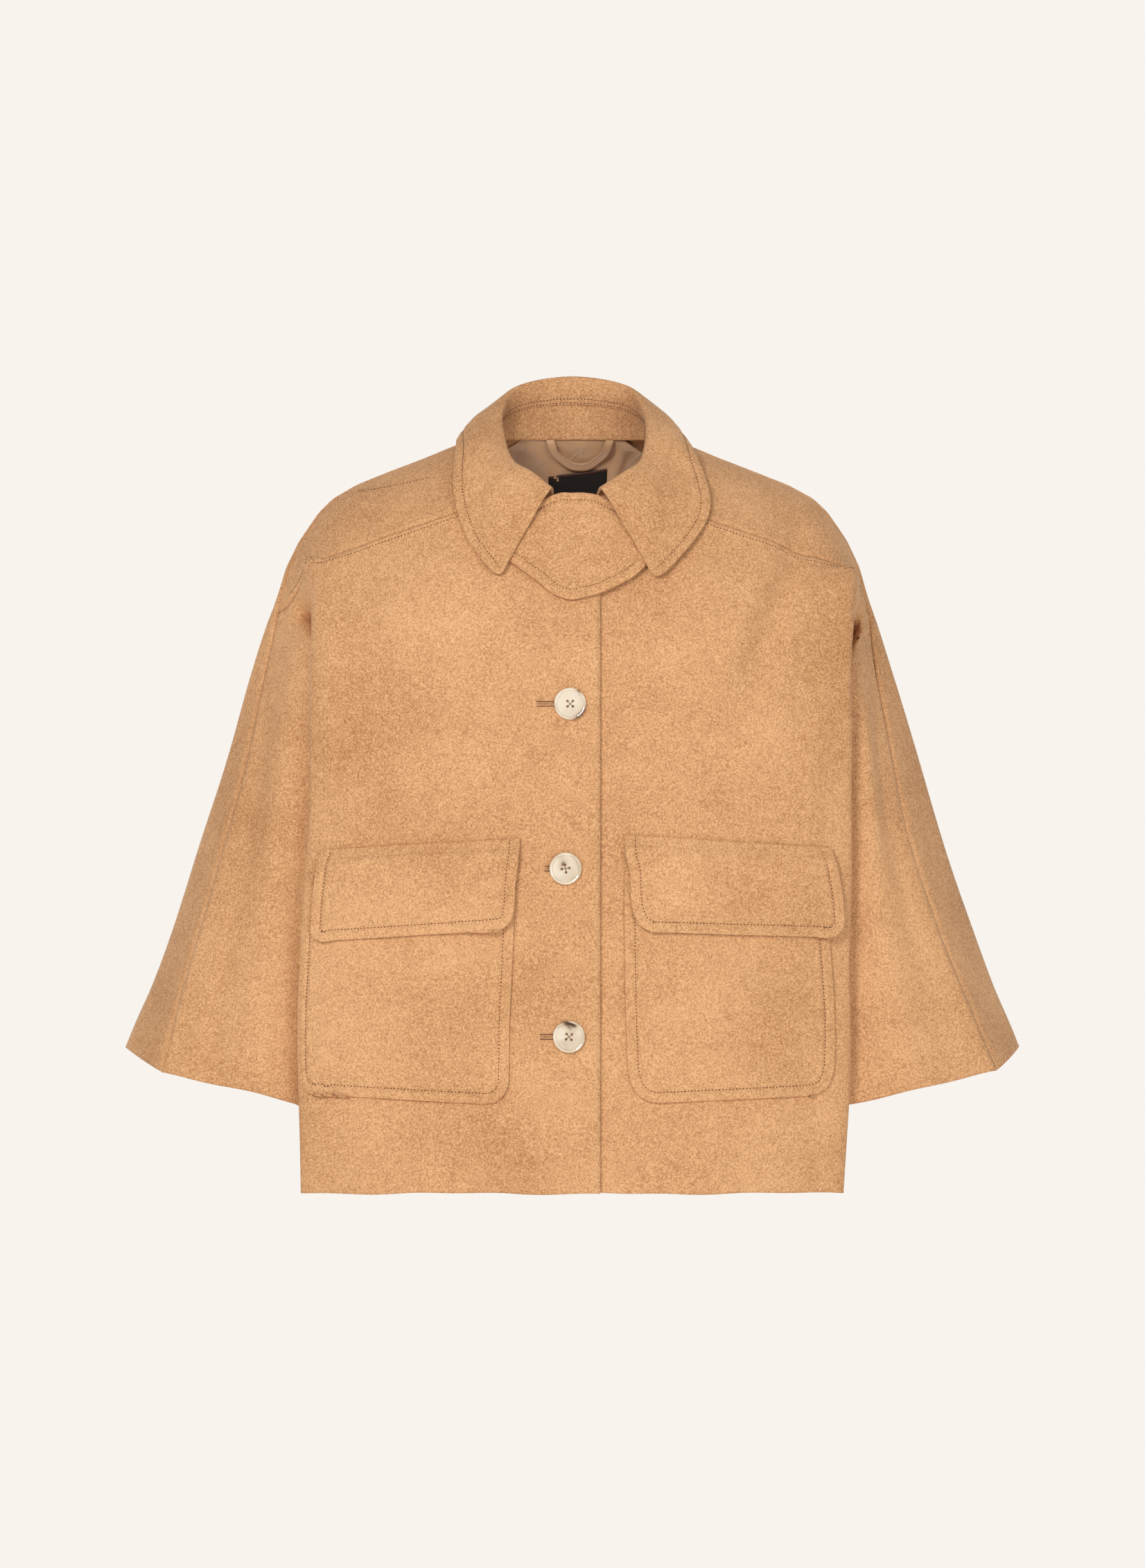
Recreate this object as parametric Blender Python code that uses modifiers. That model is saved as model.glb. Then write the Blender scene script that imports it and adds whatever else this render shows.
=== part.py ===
"""A short wool cape jacket with wide cape sleeves, hollow as worn.

The whole garment is one surface, worked out ring by ring from the neck to the hem and the cuffs. Each sewn
piece is cut from that surface between its seams and given the thickness of its cloth. Sizes are millimetres
in the garment's own frame: x to the wearer's left, y to the back, z up, zero between the shoulders. Side -1
is the wearer's right and side +1 the wearer's left.
"""

import math

import bmesh
import bpy
import numpy as np
from mathutils import Matrix

MM = 0.001
WALL = 2.2              # wool cloth
SATIN = 0.8             # lining and label
SEAM_GAP = 0.6          # between two pieces at a seam
LAID_GAP = 0.4          # between a panel and what lies on it
LAP = 24.0              # each front passes the centre by this much
LAP_STEP = 3.4          # the under front lies this far behind the upper one
SIDES = {"right": -1, "left": 1}

# The outline seen from the front: height and half width, down the shoulder ridge and the sleeve.
OUTLINE_Z = [12, 3, -6, -18, -30, -42, -54, -66, -78, -102, -126, -150, -198, -246, -318, -390, -462, -498, -520]
OUTLINE_X = [72, 102, 124, 156, 186, 207, 219, 227, 235, 247, 255, 264, 279, 293, 315, 338, 364, 380, 389]
# The front edge of the body, where the panel rolls back towards the side, for each side.
EDGE_Z = {-1: [-97, -160, -230, -320, -370, -450, -560, -642], 1: [-104, -146, -181, -233, -400, -520, -569, -642]}
EDGE_X = {-1: [227, 224, 225, 228, 232, 235, 236, 234], 1: [244, 244, 242, 241, 240, 239, 237, 233]}
# The overarm seam on the front of the sleeve, for each side.
SEAM_Z = {-1: [-144, -194, -277, -386, -450, -503, -537], 1: [-144, -182, -233, -328, -419, -487, -537]}
SEAM_X = {-1: [255, 265, 285, 314, 333, 347, 356], 1: [257, 262, 270, 290, 318, 346, 367]}
SEAM_Y = [-8, -14, -28, -42, -50, -56, -60]
# Depth of the front and the back at the centre and at the body edge.
FRONT_Z = [12, -26, -47, -80, -130, -200, -300, -450, -642]
FRONT_Y = [-46, -69, -84, -99, -115, -126, -131, -136, -141]
FRONT_EDGE_Z = [-97, -150, -250, -400, -642]
FRONT_EDGE_Y = [-50, -72, -84, -90, -96]
BACK_Z = [12, -6, -30, -60, -97, -150, -250, -400, -642]
BACK_Y = [47, 62, 78, 92, 103, 111, 115, 118, 126]
BACK_EDGE_Y = [46, 62, 72, 78, 84]
# The armhole fold runs back from the body edge until front and back meet at the underarm.
FOLD_Z = [-97, -135, -165, -200, -250]
FOLD_Y = [-44, -26, -12, -2, 6]
BACK_FOLD_Y = [40, 32, 22, 13, 6]
UNDERARM_Y = 6.0
ROLL = {-1: 6.0, 1: 4.0}                # radius of the body edge
SET_BACK = {-1: 15.0, 1: 15.0}           # the sleeve starts this far behind the body edge
FOLD_TOP = {-1: (-82, -135), 1: (-100, -160)}    # heights where the fold opens and is full
# Heights of the rings at the neck, the yoke's end, the underarm and the hem.
RING_CENTRE = [-47, -128, -258, -642]
RING_EDGE = {-1: [-26, -97, -250, -642], 1: [-26, -104, -250, -642]}
RING_SIDE_SEAM = [-26, -118, -250, -642]
RING_UNDERARM = [-26, -124, -250, -567]
RING_SLEEVE = [-26, -138, -258, -566]
RING_OVERARM = [11, -141, -266, -537]
RING_OUTER = [12, -140, -262, -516]
RING_BACK_CENTRE = [12, -122, -256, -642]
NECK_FRONT = (43, -35)                  # the forward seam meets the neck seam here
NECK_BACK = (45, 12)
YOKE_ROWS = 6
ARMHOLE_ROWS = 5
LOWER_ROWS = 9
BODY_COLUMNS = [0, 0.5, 1, 1.5, 2, 2.5, 3, 3.5, 4, 4.5, 5, 5.5, 6, 7, 8]
SLEEVE_COLUMNS = [0, 1, 2, 2.5, 3, 3.6, 4.3, 5]
EDGE_COLUMN = 10

# The collar from the wearer's right leaf round the back to the left leaf: where it rolls over, where its outer
# edge lies, and how far the fall bulges out between the two.
COLLAR = [
    # roll x, y, z      edge x, y, z       bulge
    (-18, -88, -34, -64, -112, -113, 3),
    (-36, -80, -20, -90, -92, -78, 3),
    (-52, -64, -10, -102, -77, -40, 4),
    (-60, -34, 12, -100, -42, -3, 6),
    (-61, 0, 36, -95, 8, 10, 7.5),
    (-46, 32, 55, -74, 58, -2, 8),
    (0, 48, 63, 0, 80, -4, 8),
    (46, 32, 55, 76, 58, -2, 8),
    (62, 0, 36, 95, 8, 10, 7),
    (65, -34, 14, 107, -42, -5, 6),
    (60, -62, -9, 119, -66, -45, 4),
    (44, -80, -21, 108, -90, -75, 3),
    (24, -88, -34, 73, -113, -115, 3),
]
NECK_CENTRE_Y = -20
NECK_POINTS = 24
COLLAR_WALL = 2.6       # two layers of cloth
STAND_WALL = 1.6
STAND_RAISE = 2.2       # the stand starts this far above the neck seam
STAND_SHARE = 0.35      # the seam between stand and fall, down from the roll
# The throat tab: its upper and lower edge across the fronts, and how far it stands off them by height.
TAB_X = [-58, -50, -40, -28, -17, -10, -1, 10, 22, 34, 44, 54, 63]
TAB_TOP = [-62, -56, -50, -45, -40, -38, -38, -38, -40, -46, -51, -57, -64]
TAB_BOTTOM = [-94, -100, -107, -116, -125, -128, -130, -128, -125, -120, -115, -109, -101]
TAB_Z = [-130, -80, -60, -46, -38]
TAB_OFF = [3.2, 3.7, 4.5, 6.0, 9.6]
TAB_WALL = 2.2
LEAF_OVER_TAB = 3.4
LEAF_OVER_FRONT = 4.6
# Each patch pocket and flap, row by row: height at the inner and at the outer edge, x of the inner edge, and
# how far the outer edge passes the body edge, along the cloth.
POCKET = {
    -1: [(-356, -366, 50, -7), (-408, -412, 50.4, -6), (-450, -450, 52, -5), (-500, -498, 54.3, -5),
         (-535, -530, 54.7, -5), (-549, -543, 55.5, -6), (-558, -551, 60, -9), (-563, -555, 66, -14),
         (-565, -557, 74, -24)],
    1: [(-355, -363, 45, -25), (-422, -422, 45, -24.5), (-488, -488, 46.2, -20.5), (-520, -520, 47.3, -20.5),
        (-536, -536, 48.2, -21), (-550, -546, 52, -23.5), (-558, -552, 58, -28), (-562, -555.5, 64, -34),
        (-564, -558, 73, -42)],
}
FLAP = {
    -1: [(-336, -346, 45, -20), (-345, -354, 45.6, -19.5), (-352, -361, 46.2, -19), (-376, -386, 49, -17.5),
         (-397, -407, 50.3, -17), (-407, -417, 52.8, -17.5), (-413, -422, 59, -21), (-415.5, -425, 68, -28)],
    1: [(-333, -344.5, 45.3, -24), (-341, -352, 45.5, -22.5), (-348, -359, 46, -20.5), (-366, -378, 49.8, -16.5),
        (-390, -400, 51, -14), (-403, -412, 54, -14.5), (-411, -418, 58.5, -18.5), (-417, -421.5, 68, -25.5)],
}
PATCH_COLUMNS = [0, 0.04, 0.1, 0.22, 0.34, 0.46, 0.58, 0.68, 0.78, 0.86, 0.91, 0.94, 0.97, 1]
PATCH_GAP = 0.8
PATCH_WALL = 2.0
FLAP_GAP = 4.1          # over the pocket
FLAP_CORNER = {-1: (5.0, 1.5), 1: (2.5, 3.5)}    # lift of the inner and the outer lower corner
# Buttons: centre x and z, and the turn of the four holes.
BUTTONS = {"button_top": (-2, -220, 45), "button_middle": (-6, -362, 8), "button_bottom": (-3, -507, 40)}
BUTTON_PROFILE = [(0, 0), (11.5, 0), (13.4, 0.7), (14, 1.8), (13.7, 3.0), (12.9, 3.5), (12.0, 3.3), (11.3, 2.5),
                  (10.4, 2.5), (8.5, 2.3), (4.5, 1.9), (0, 1.8)]
BUTTON_STEPS = 24
HOLE_RADIUS = 1.15
HOLE_OFFSET = 3.3
BUTTON_GAP = 0.4
# Inside the neck.
LINING_ROWS = 6
LINING_GAP = 0.6
LABEL_LEFT = (-21, -19)
LABEL_RIGHT = (30, -12)
LABEL_HEIGHT = 26
LABEL_IN = 4.6
LOOP_X = [-20.5, -20, -19, -15, -8, -0.5, 7, 14, 21, 28, 32, 33, 33.5]
LOOP_Z = [17, 13.5, 10, 3, -4, -7.5, -8, -7.5, -4, 3, 10, 13.5, 17]
LOOP_WIDTH = 6.5
LOOP_IN = 6.8
LOOP_SEWN = 4.25        # how far in from the back its ends lie at the neck seam


def smooth(keys, values, at):
    """A smooth curve through a table: cubic pieces whose slopes are the mean of the slopes on both sides."""
    order = np.argsort(keys)
    keys = np.asarray(keys, float)[order]
    values = np.asarray(values, float)[order]
    slope = np.diff(values) / np.diff(keys)
    tangent = np.concatenate([slope[:1], (slope[1:] + slope[:-1]) / 2, slope[-1:]])
    at = np.clip(at, keys[0], keys[-1])
    i = np.clip(np.searchsorted(keys, at) - 1, 0, len(keys) - 2)
    step = keys[i + 1] - keys[i]
    t = (at - keys[i]) / step
    return ((2 * t**3 - 3 * t**2 + 1) * values[i] + (t**3 - 2 * t**2 + t) * step * tangent[i]
            + (3 * t**2 - 2 * t**3) * values[i + 1] + (t**3 - t**2) * step * tangent[i + 1])


def ease(at, start, end):
    """Zero before start, one after end, and a soft step between."""
    t = np.clip((np.asarray(at, float) - start) / (end - start), 0, 1)
    return t * t * (3 - 2 * t)


def depth(side, x, z, centre_y, edge_y, centre_z=FRONT_Z):
    """How far a panel lies from the shoulder plane at a place seen from the front. Above the armhole it is an
    oval that closes at the outline, below it a nearly flat panel that bends back towards the body edge."""
    middle = smooth(centre_z, centre_y, z)
    outline = smooth(OUTLINE_Z, OUTLINE_X, z)
    oval = middle * np.sqrt(np.clip(1 - np.clip(np.abs(x) / outline, 0, 1) ** 2.5, 0, 1))
    edge = smooth(EDGE_Z[side], EDGE_X[side], z)
    side_y = smooth(FRONT_EDGE_Z, edge_y, z)
    panel = middle + (side_y - middle) * np.clip(np.abs(x) / edge, 0, 1) ** 3
    return oval + (panel - oval) * ease(z, -80, -115)


def front_depth(side, x, z):
    return depth(side, x, z, FRONT_Y, FRONT_EDGE_Y)


def back_depth(side, x, z):
    return depth(side, x, z, BACK_Y, BACK_EDGE_Y, BACK_Z)


def through(points, columns, start=None, end=None, softness=None):
    """A smooth curve through rows of points (rows, points, 3), read at columns counted in points. Slopes follow
    the distances between the points, so a short step beside a long one doesn't overshoot. Softness is one for
    a round bend at a point and less for a sharper one."""
    points = np.asarray(points, float)
    length = np.maximum(np.linalg.norm(np.diff(points, axis=1), axis=2), 0.05)[..., None]
    slope = np.diff(points, axis=1) / length
    before, after = length[:, :-1], length[:, 1:]
    inner = (slope[:, :-1] * after + slope[:, 1:] * before) / (before + after)
    first = slope[:, :1] if start is None else start[:, None]
    last = slope[:, -1:] if end is None else end[:, None]
    tangent = np.concatenate([first, inner, last], axis=1)
    if softness is not None:
        tangent = tangent * softness[..., None]
    columns = np.asarray(columns, float)
    i = np.clip(columns.astype(int), 0, points.shape[1] - 2)
    t = (columns - i)[None, :, None]
    step = length[:, i]
    return ((2 * t**3 - 3 * t**2 + 1) * points[:, i] + (t**3 - 2 * t**2 + t) * step * tangent[:, i]
            + (3 * t**2 - 2 * t**3) * points[:, i + 1] + (t**3 - t**2) * step * tangent[:, i + 1])


def stack(x, y, z):
    return np.stack(np.broadcast_arrays(x, y, z), axis=-1).astype(float)


def ring(values, v):
    return np.interp(v, [0, 1, 2, 3], values)


def ridge(v):
    """The shoulder ridge from the neck to the yoke's corner, at an even pace."""
    top = np.array(OUTLINE_Z, float) > -141
    x = np.append(np.array(OUTLINE_X, float)[top], 260)
    z = np.append(np.array(OUTLINE_Z, float)[top], -140)
    along = np.concatenate([[0], np.cumsum(np.hypot(np.diff(x), np.diff(z)))])
    at = np.clip(v, 0, 1) ** 1.3 * along[-1]
    return np.interp(at, along, x), np.interp(at, along, z)


def body_and_sleeve(side, v, front=True):
    """The control points of one half, front or back, at rings v: first the body from its centre to the side
    seam (nine points), then the sleeve from the underarm to the overarm line (six points)."""
    sign = -1 if front else 1
    panel = front_depth if front else back_depth
    upper = v < 1
    edge_z = ring(RING_EDGE[side], v)
    edge_x = smooth(EDGE_Z[side], EDGE_X[side], edge_z)
    neck_x, neck_z = NECK_FRONT if front else NECK_BACK
    tip_x = smooth(EDGE_Z[side], EDGE_X[side], RING_EDGE[side][1])
    early = 1 - (1 - np.clip(v, 0, 1)) ** 1.6
    seam_x = neck_x + (tip_x - neck_x) * early
    seam_z = neck_z + (RING_EDGE[side][1] - neck_z) * early
    edge_x = np.where(upper, seam_x, edge_x)
    edge_z = np.where(upper, seam_z, edge_z)
    back_in = 0 if front else 5.0
    edge_x = edge_x - back_in * ease(v, 0.5, 1.5)
    full = ease(edge_z, *FOLD_TOP[side]) * ease(v, 0.85, 1.35)
    roll = ROLL[side] * full
    edge_y = panel(side, edge_x, edge_z)
    centre_z = ring(RING_CENTRE if front else RING_BACK_CENTRE, v)
    start_x = -LAP if front else 0.0

    body = []
    for share in (0.0, 0.22, 0.45, 0.7, 0.9):
        x = start_x + (edge_x - start_x) * share if share else np.full_like(v, start_x)
        x = np.where(share == 0.9, np.minimum(x, edge_x - 1.6 * roll - 2), x)
        z = centre_z + (edge_z - centre_z) * share**1.6
        y = panel(side, x, z)
        if front and side > 0:
            y = y + LAP_STEP * ease(x, 75, 35)
        body.append(stack(x, y, z))
    body.append(stack(edge_x, edge_y + sign * -0.8 * roll, edge_z))

    fold_y = smooth(FOLD_Z, FOLD_Y if front else BACK_FOLD_Y, ring(RING_SIDE_SEAM, v))
    fold_y = np.where(v >= 2, UNDERARM_Y, fold_y)
    part = 4.5 * ease(v, 1.95, 2.2)
    wall_y = edge_y - sign * 2.2 * roll
    side_z = ring(RING_SIDE_SEAM, v)
    under_z = ring(RING_UNDERARM, v)
    sleeve_z = ring(RING_SLEEVE, v)
    over_x = smooth(SEAM_Z[side], SEAM_X[side], ring(RING_OVERARM, v))
    over_y = smooth(SEAM_Z[side], SEAM_Y, ring(RING_OVERARM, v))
    over_z = ring(RING_OVERARM, v)
    top_x, top_z = ridge(v)
    over_x = np.where(upper, top_x - 3 * ease(v, 0.8, 1.0), over_x)
    over_y = np.where(upper, -3 - 5 * ease(v, 0.6, 1.0), over_y)
    over_z = np.where(upper, top_z - 0.4 - 0.6 * ease(v, 0.6, 1.0), over_z)
    outer_z = np.where(upper, top_z, ring(RING_OUTER, v))
    outer_x = np.where(upper, top_x, smooth(OUTLINE_Z, OUTLINE_X, outer_z))
    outer_y = np.where(upper, 2.0, 2 + 5 * ease(v, 1, 2.5))
    end = stack(over_x, over_y, over_z) if front else stack(outer_x, outer_y, outer_z)

    body_edge = body[-1]
    strip = []
    for share in (0.24, 0.38, 0.5, 0.61, 0.71, 0.81, 0.91):
        rest = 1 - share
        bulge = np.stack([0.6 - 0.4 * ease(v, 0, 0.8), 0 * v, np.full_like(v, 0.8)], axis=1)
        powers = 1 + bulge * (1 - ease(v, 0.9, 1.6))[:, None]
        strip.append(end + (body_edge - end) * rest**powers)

    beside = np.where(v > 1, smooth(EDGE_Z[side], EDGE_X[side], sleeve_z), edge_x + back_in)
    beside_x = np.where(v > 1, beside, edge_x)
    beside_z = np.where(v > 1, sleeve_z, edge_z)
    set_back = panel(side, beside_x, beside_z) - sign * SET_BACK[side]
    sleeve_x = beside - 1.0
    end_x, end_y, end_z = end[:, 0], end[:, 1], end[:, 2]
    wall_mid = wall_y + 0.6 * (fold_y - wall_y)
    in_mid = set_back + 0.6 * (fold_y - set_back)
    swell = sign * (5 + 7 * ease(v, 1.2, 3))
    if front:
        mid_y = set_back + (end_y - set_back) * 0.28 + swell * 0.6
        out_y = set_back + (end_y - set_back) * 0.68 + swell * 0.5
        mid_share, out_share = 0.36, 0.72
    else:
        mid_y = set_back + 0.04 * swell + 2
        out_y = set_back * 0.62 + 6
        mid_share, out_share = 0.45, 0.86
    folded = [
        stack(edge_x - 0.9 * roll, wall_y, edge_z),
        stack(edge_x - 11, wall_mid, side_z),
        stack(edge_x - 7 - part, fold_y, side_z),
        stack(sleeve_x - 2, in_mid, under_z),
        stack(sleeve_x, set_back, sleeve_z),
        stack(sleeve_x + (end_x - sleeve_x) * mid_share, mid_y, sleeve_z + (end_z - sleeve_z) * mid_share),
        stack(sleeve_x + (end_x - sleeve_x) * out_share, out_y, sleeve_z + (end_z - sleeve_z) * out_share),
    ]
    mixed = [flat + (bent - flat) * full[:, None] for flat, bent in zip(strip, folded)]
    under = stack(beside - back_in - 7 + part, fold_y, under_z)
    under = strip[2] + (under - strip[2]) * full[:, None]
    body += mixed[:3]
    sleeve = [under] + mixed[3:] + [end]
    return np.stack(body, axis=1), np.stack(sleeve, axis=1)


def half_rings(side, v, front=True, body_columns=None, sleeve_columns=None):
    """The body and the sleeve of one half as grids of points. Above the underarm the two meet in one fold, so
    there both leave it in the same direction."""
    body, sleeve = body_and_sleeve(side, v, front)
    apart = ease(v, 2.0, 2.25)[:, None]
    across = sleeve[:, 1] - body[:, -2]
    across = across / np.maximum(np.linalg.norm(across, axis=1), 1)[:, None]
    own_body = body[:, -1] - body[:, -2]
    own_body = own_body / np.maximum(np.linalg.norm(own_body, axis=1), 1)[:, None]
    own_sleeve = sleeve[:, 1] - sleeve[:, 0]
    own_sleeve = own_sleeve / np.maximum(np.linalg.norm(own_sleeve, axis=1), 1)[:, None]
    body_end = across + (own_body - across) * apart
    sleeve_start = across + (own_sleeve - across) * apart
    sleeve_soft = np.ones((len(v), 6))
    sleeve_soft[:, 2] = 0.4
    body_grid = through(body, BODY_COLUMNS if body_columns is None else body_columns, end=body_end)
    sleeve_grid = through(sleeve, SLEEVE_COLUMNS if sleeve_columns is None else sleeve_columns,
                          start=sleeve_start, softness=sleeve_soft)
    for grid in (body_grid, sleeve_grid):
        grid[..., 0] *= side
    return body_grid, sleeve_grid


def grid_normals(grid, flip):
    """Unit normals of a grid of points: each is the mean of the normals of the quads round it, and a quad's
    normal is the cross product of its diagonals."""
    quads = np.cross(grid[1:, 1:] - grid[:-1, :-1], grid[:-1, 1:] - grid[1:, :-1]) * flip
    quads /= np.maximum(np.linalg.norm(quads, axis=2, keepdims=True), 1e-9)
    normal = np.zeros_like(grid)
    for rows_at in (slice(0, -1), slice(1, None)):
        for columns_at in (slice(0, -1), slice(1, None)):
            normal[rows_at, columns_at] += quads
    return normal / np.maximum(np.linalg.norm(normal, axis=2, keepdims=True), 1e-9)


def rows():
    return np.concatenate([np.linspace(0, 1, YOKE_ROWS + 1)[:-1], np.linspace(1, 2, ARMHOLE_ROWS + 1)[:-1],
                           np.linspace(2, 3, LOWER_ROWS + 1)])


def inner_surface(side, front):
    """The inside of the cloth, one wall's thickness in from the outer surface, as body and sleeve grids."""
    body, sleeve = half_rings(side, rows(), front)
    flip = side if front else -side
    body_normal = grid_normals(body, flip)
    sleeve_normal = grid_normals(sleeve, flip)
    joined = rows() < 1.99
    shared = body_normal[joined, -1] + sleeve_normal[joined, 0]
    shared /= np.maximum(np.linalg.norm(shared, axis=1, keepdims=True), 1e-9)
    body_normal[joined, -1] = shared
    sleeve_normal[joined, 0] = shared
    if not front:
        down = np.gradient(body[:, 0], axis=0)
        body_normal[:, 0] = unit(stack(0, -down[:, 2], down[:, 1]))
    body = body - body_normal * WALL
    return body, sleeve - sleeve_normal * WALL


def cloth_material(name, colour, roughness):
    material = bpy.data.materials.new(name)
    material.use_nodes = True
    shader = material.node_tree.nodes["Principled BSDF"]
    shader.inputs["Base Color"].default_value = (*colour, 1)
    shader.inputs["Roughness"].default_value = roughness
    return material


def add_object(name, mesh, material):
    thing = bpy.data.objects.new(name, mesh)
    mesh.materials.append(material)
    PARTS.objects.link(thing)
    return thing


def add_mesh(name, points, faces):
    mesh = bpy.data.meshes.new(name)
    mesh.from_pydata((np.asarray(points) * MM).tolist(), [], faces)
    mesh.update()
    return mesh


def trim(mesh, amount):
    """Draws every open edge back by amount, square to the edge, so that neighbours at a seam don't touch."""
    points = np.array([vertex.co for vertex in mesh.vertices])
    uses = {}
    for face in mesh.polygons:
        for key in face.edge_keys:
            uses.setdefault(key, []).append(face)
    inward = {}
    for (a, b), faces in uses.items():
        if len(faces) > 1:
            continue
        along = points[b] - points[a]
        across = np.cross(np.array(faces[0].normal), along)
        across /= max(np.linalg.norm(across), 1e-12)
        if np.dot(across, np.array(faces[0].center) - points[a]) < 0:
            across = -across
        for i in (a, b):
            inward.setdefault(i, []).append(across)
    for i, ways in inward.items():
        mean = np.mean(ways, axis=0)
        length = np.linalg.norm(mean)
        points[i] += mean / length / max(length, 0.6) * amount * MM
    mesh.vertices.foreach_set("co", points.ravel())
    mesh.update()


def give_wall(thing, thickness, offset=1.0):
    wall = thing.modifiers.new("wall", "SOLIDIFY")
    wall.thickness = thickness * MM
    wall.offset = offset
    wall.use_even_offset = False
    thing.data.shade_smooth()


def grid_faces(index, keep, flip, slant=1):
    """The triangles of a grid of point numbers, where keep says so. Both skins of a wall share the diagonals."""
    faces = []
    for r in range(index.shape[0] - 1):
        for c in range(index.shape[1] - 1):
            if not keep[r, c]:
                continue
            quad = [int(index[r, c]), int(index[r + 1, c]), int(index[r + 1, c + 1]), int(index[r, c + 1])]
            quad = quad[slant:] + quad[:slant]
            halves = [quad[:3], [quad[0], quad[2], quad[3]]]
            faces += halves if flip > 0 else [half[::-1] for half in halves]
    return faces


def used_only(points, faces):
    used = sorted({i for face in faces for i in face})
    new = {old: i for i, old in enumerate(used)}
    return points[used], [[new[i] for i in face] for face in faces]


def panel_mesh(side, front, yoke=None):
    """One half as a single mesh: the body grid and the sleeve grid share their fold above the underarm. With
    yoke true only the shoulder yoke is kept, with false only what lies below it."""
    body, sleeve = inner_surface(side, front)
    count, wide, narrow = body.shape[0], body.shape[1], sleeve.shape[1]
    body_index = np.arange(count * wide).reshape(count, wide)
    sleeve_index = np.arange(count * narrow).reshape(count, narrow) + count * wide
    joined = rows() < 2.001
    sleeve_index[joined, 0] = body_index[joined, -1]
    points = np.concatenate([body.reshape(-1, 3), sleeve.reshape(-1, 3)])
    keep_body = np.ones((count - 1, wide - 1), bool)
    keep_sleeve = np.ones((count - 1, narrow - 1), bool)
    if yoke is not None:
        keep_body[:YOKE_ROWS, EDGE_COLUMN:] = yoke
        keep_sleeve[:YOKE_ROWS] = yoke
        keep_body[:YOKE_ROWS, :EDGE_COLUMN] = not yoke
        keep_body[YOKE_ROWS:] = not yoke
        keep_sleeve[YOKE_ROWS:] = not yoke
    flip = -side if front else side
    faces = grid_faces(body_index, keep_body, -flip) + grid_faces(sleeve_index, keep_sleeve, -flip)
    points, faces = used_only(points, faces)
    return points, faces


def make_fronts_and_yokes():
    for word, side in SIDES.items():
        for name, yoke in ((f"front_{word}", False), (f"yoke_{word}", True)):
            mesh = add_mesh(name, *panel_mesh(side, True, yoke))
            trim(mesh, SEAM_GAP if yoke else SEAM_GAP / 2)
            give_wall(add_object(name, mesh, WOOL), WALL)


def merged(points, faces):
    """Joins points that lie in the same place, such as those of two halves along the centre back."""
    key = np.round(points * 100).astype(int)
    _, first, same = np.unique(key, axis=0, return_index=True, return_inverse=True)
    same = same.ravel()
    return points[first], [[int(same[i]) for i in face] for face in faces]


def make_back():
    points, faces = [], []
    for side in SIDES.values():
        half_points, half_faces = panel_mesh(side, False)
        half_points, half_faces = add_shoulder_strip(side, half_points, half_faces)
        start = sum(len(p) for p in points)
        points.append(half_points)
        faces += [[i + start for i in face] for face in half_faces]
    points, faces = merged(np.concatenate(points), faces)
    mesh = add_mesh("back", points, faces)
    trim(mesh, 2 * SEAM_GAP)
    give_wall(add_object("back", mesh, WOOL), WALL)


def add_shoulder_strip(side, points, faces):
    """The back wraps round the outer edge of the sleeve to the overarm seam: one more strip of quads from its
    outer line to the front's last line."""
    _, back_sleeve = inner_surface(side, False)
    _, front_sleeve = inner_surface(side, True)
    outer, seam = back_sleeve[:, -1], front_sleeve[:, -1]
    middle = (outer + seam) / 2
    middle[:, 0] += side * 1.2
    strip = np.stack([outer, middle, seam], axis=1)
    index = np.arange(strip.shape[0] * 3).reshape(-1, 3) + len(points)
    more = grid_faces(index, np.ones((strip.shape[0] - 1, 2), bool), -side)
    return merged(np.concatenate([points, strip.reshape(-1, 3)]), faces + more)


def unit(vectors):
    return vectors / np.maximum(np.linalg.norm(vectors, axis=-1, keepdims=True), 1e-9)


def front_at(x, z):
    return np.where(x < 0, front_depth(-1, x, z), front_depth(1, x, z))


def neckline():
    """The middle of the cloth's edge all round the neck, in order of the angle about the neck's centre."""
    points = []
    for side in SIDES.values():
        for front in (True, False):
            for outer, inner in zip(half_rings(side, rows(), front), inner_surface(side, front)):
                middle = (outer[0] + inner[0]) / 2
                points.append(middle[side * middle[:, 0] > 0])
    points = np.concatenate(points)
    angle = np.arctan2(points[:, 1] - NECK_CENTRE_Y, points[:, 0])
    order = np.argsort(angle)
    even = np.linspace(-np.pi, np.pi, NECK_POINTS + 1)[:-1]
    return even, np.stack([np.interp(even, angle[order], points[order, k], period=2 * np.pi) for k in range(3)], 1)


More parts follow.
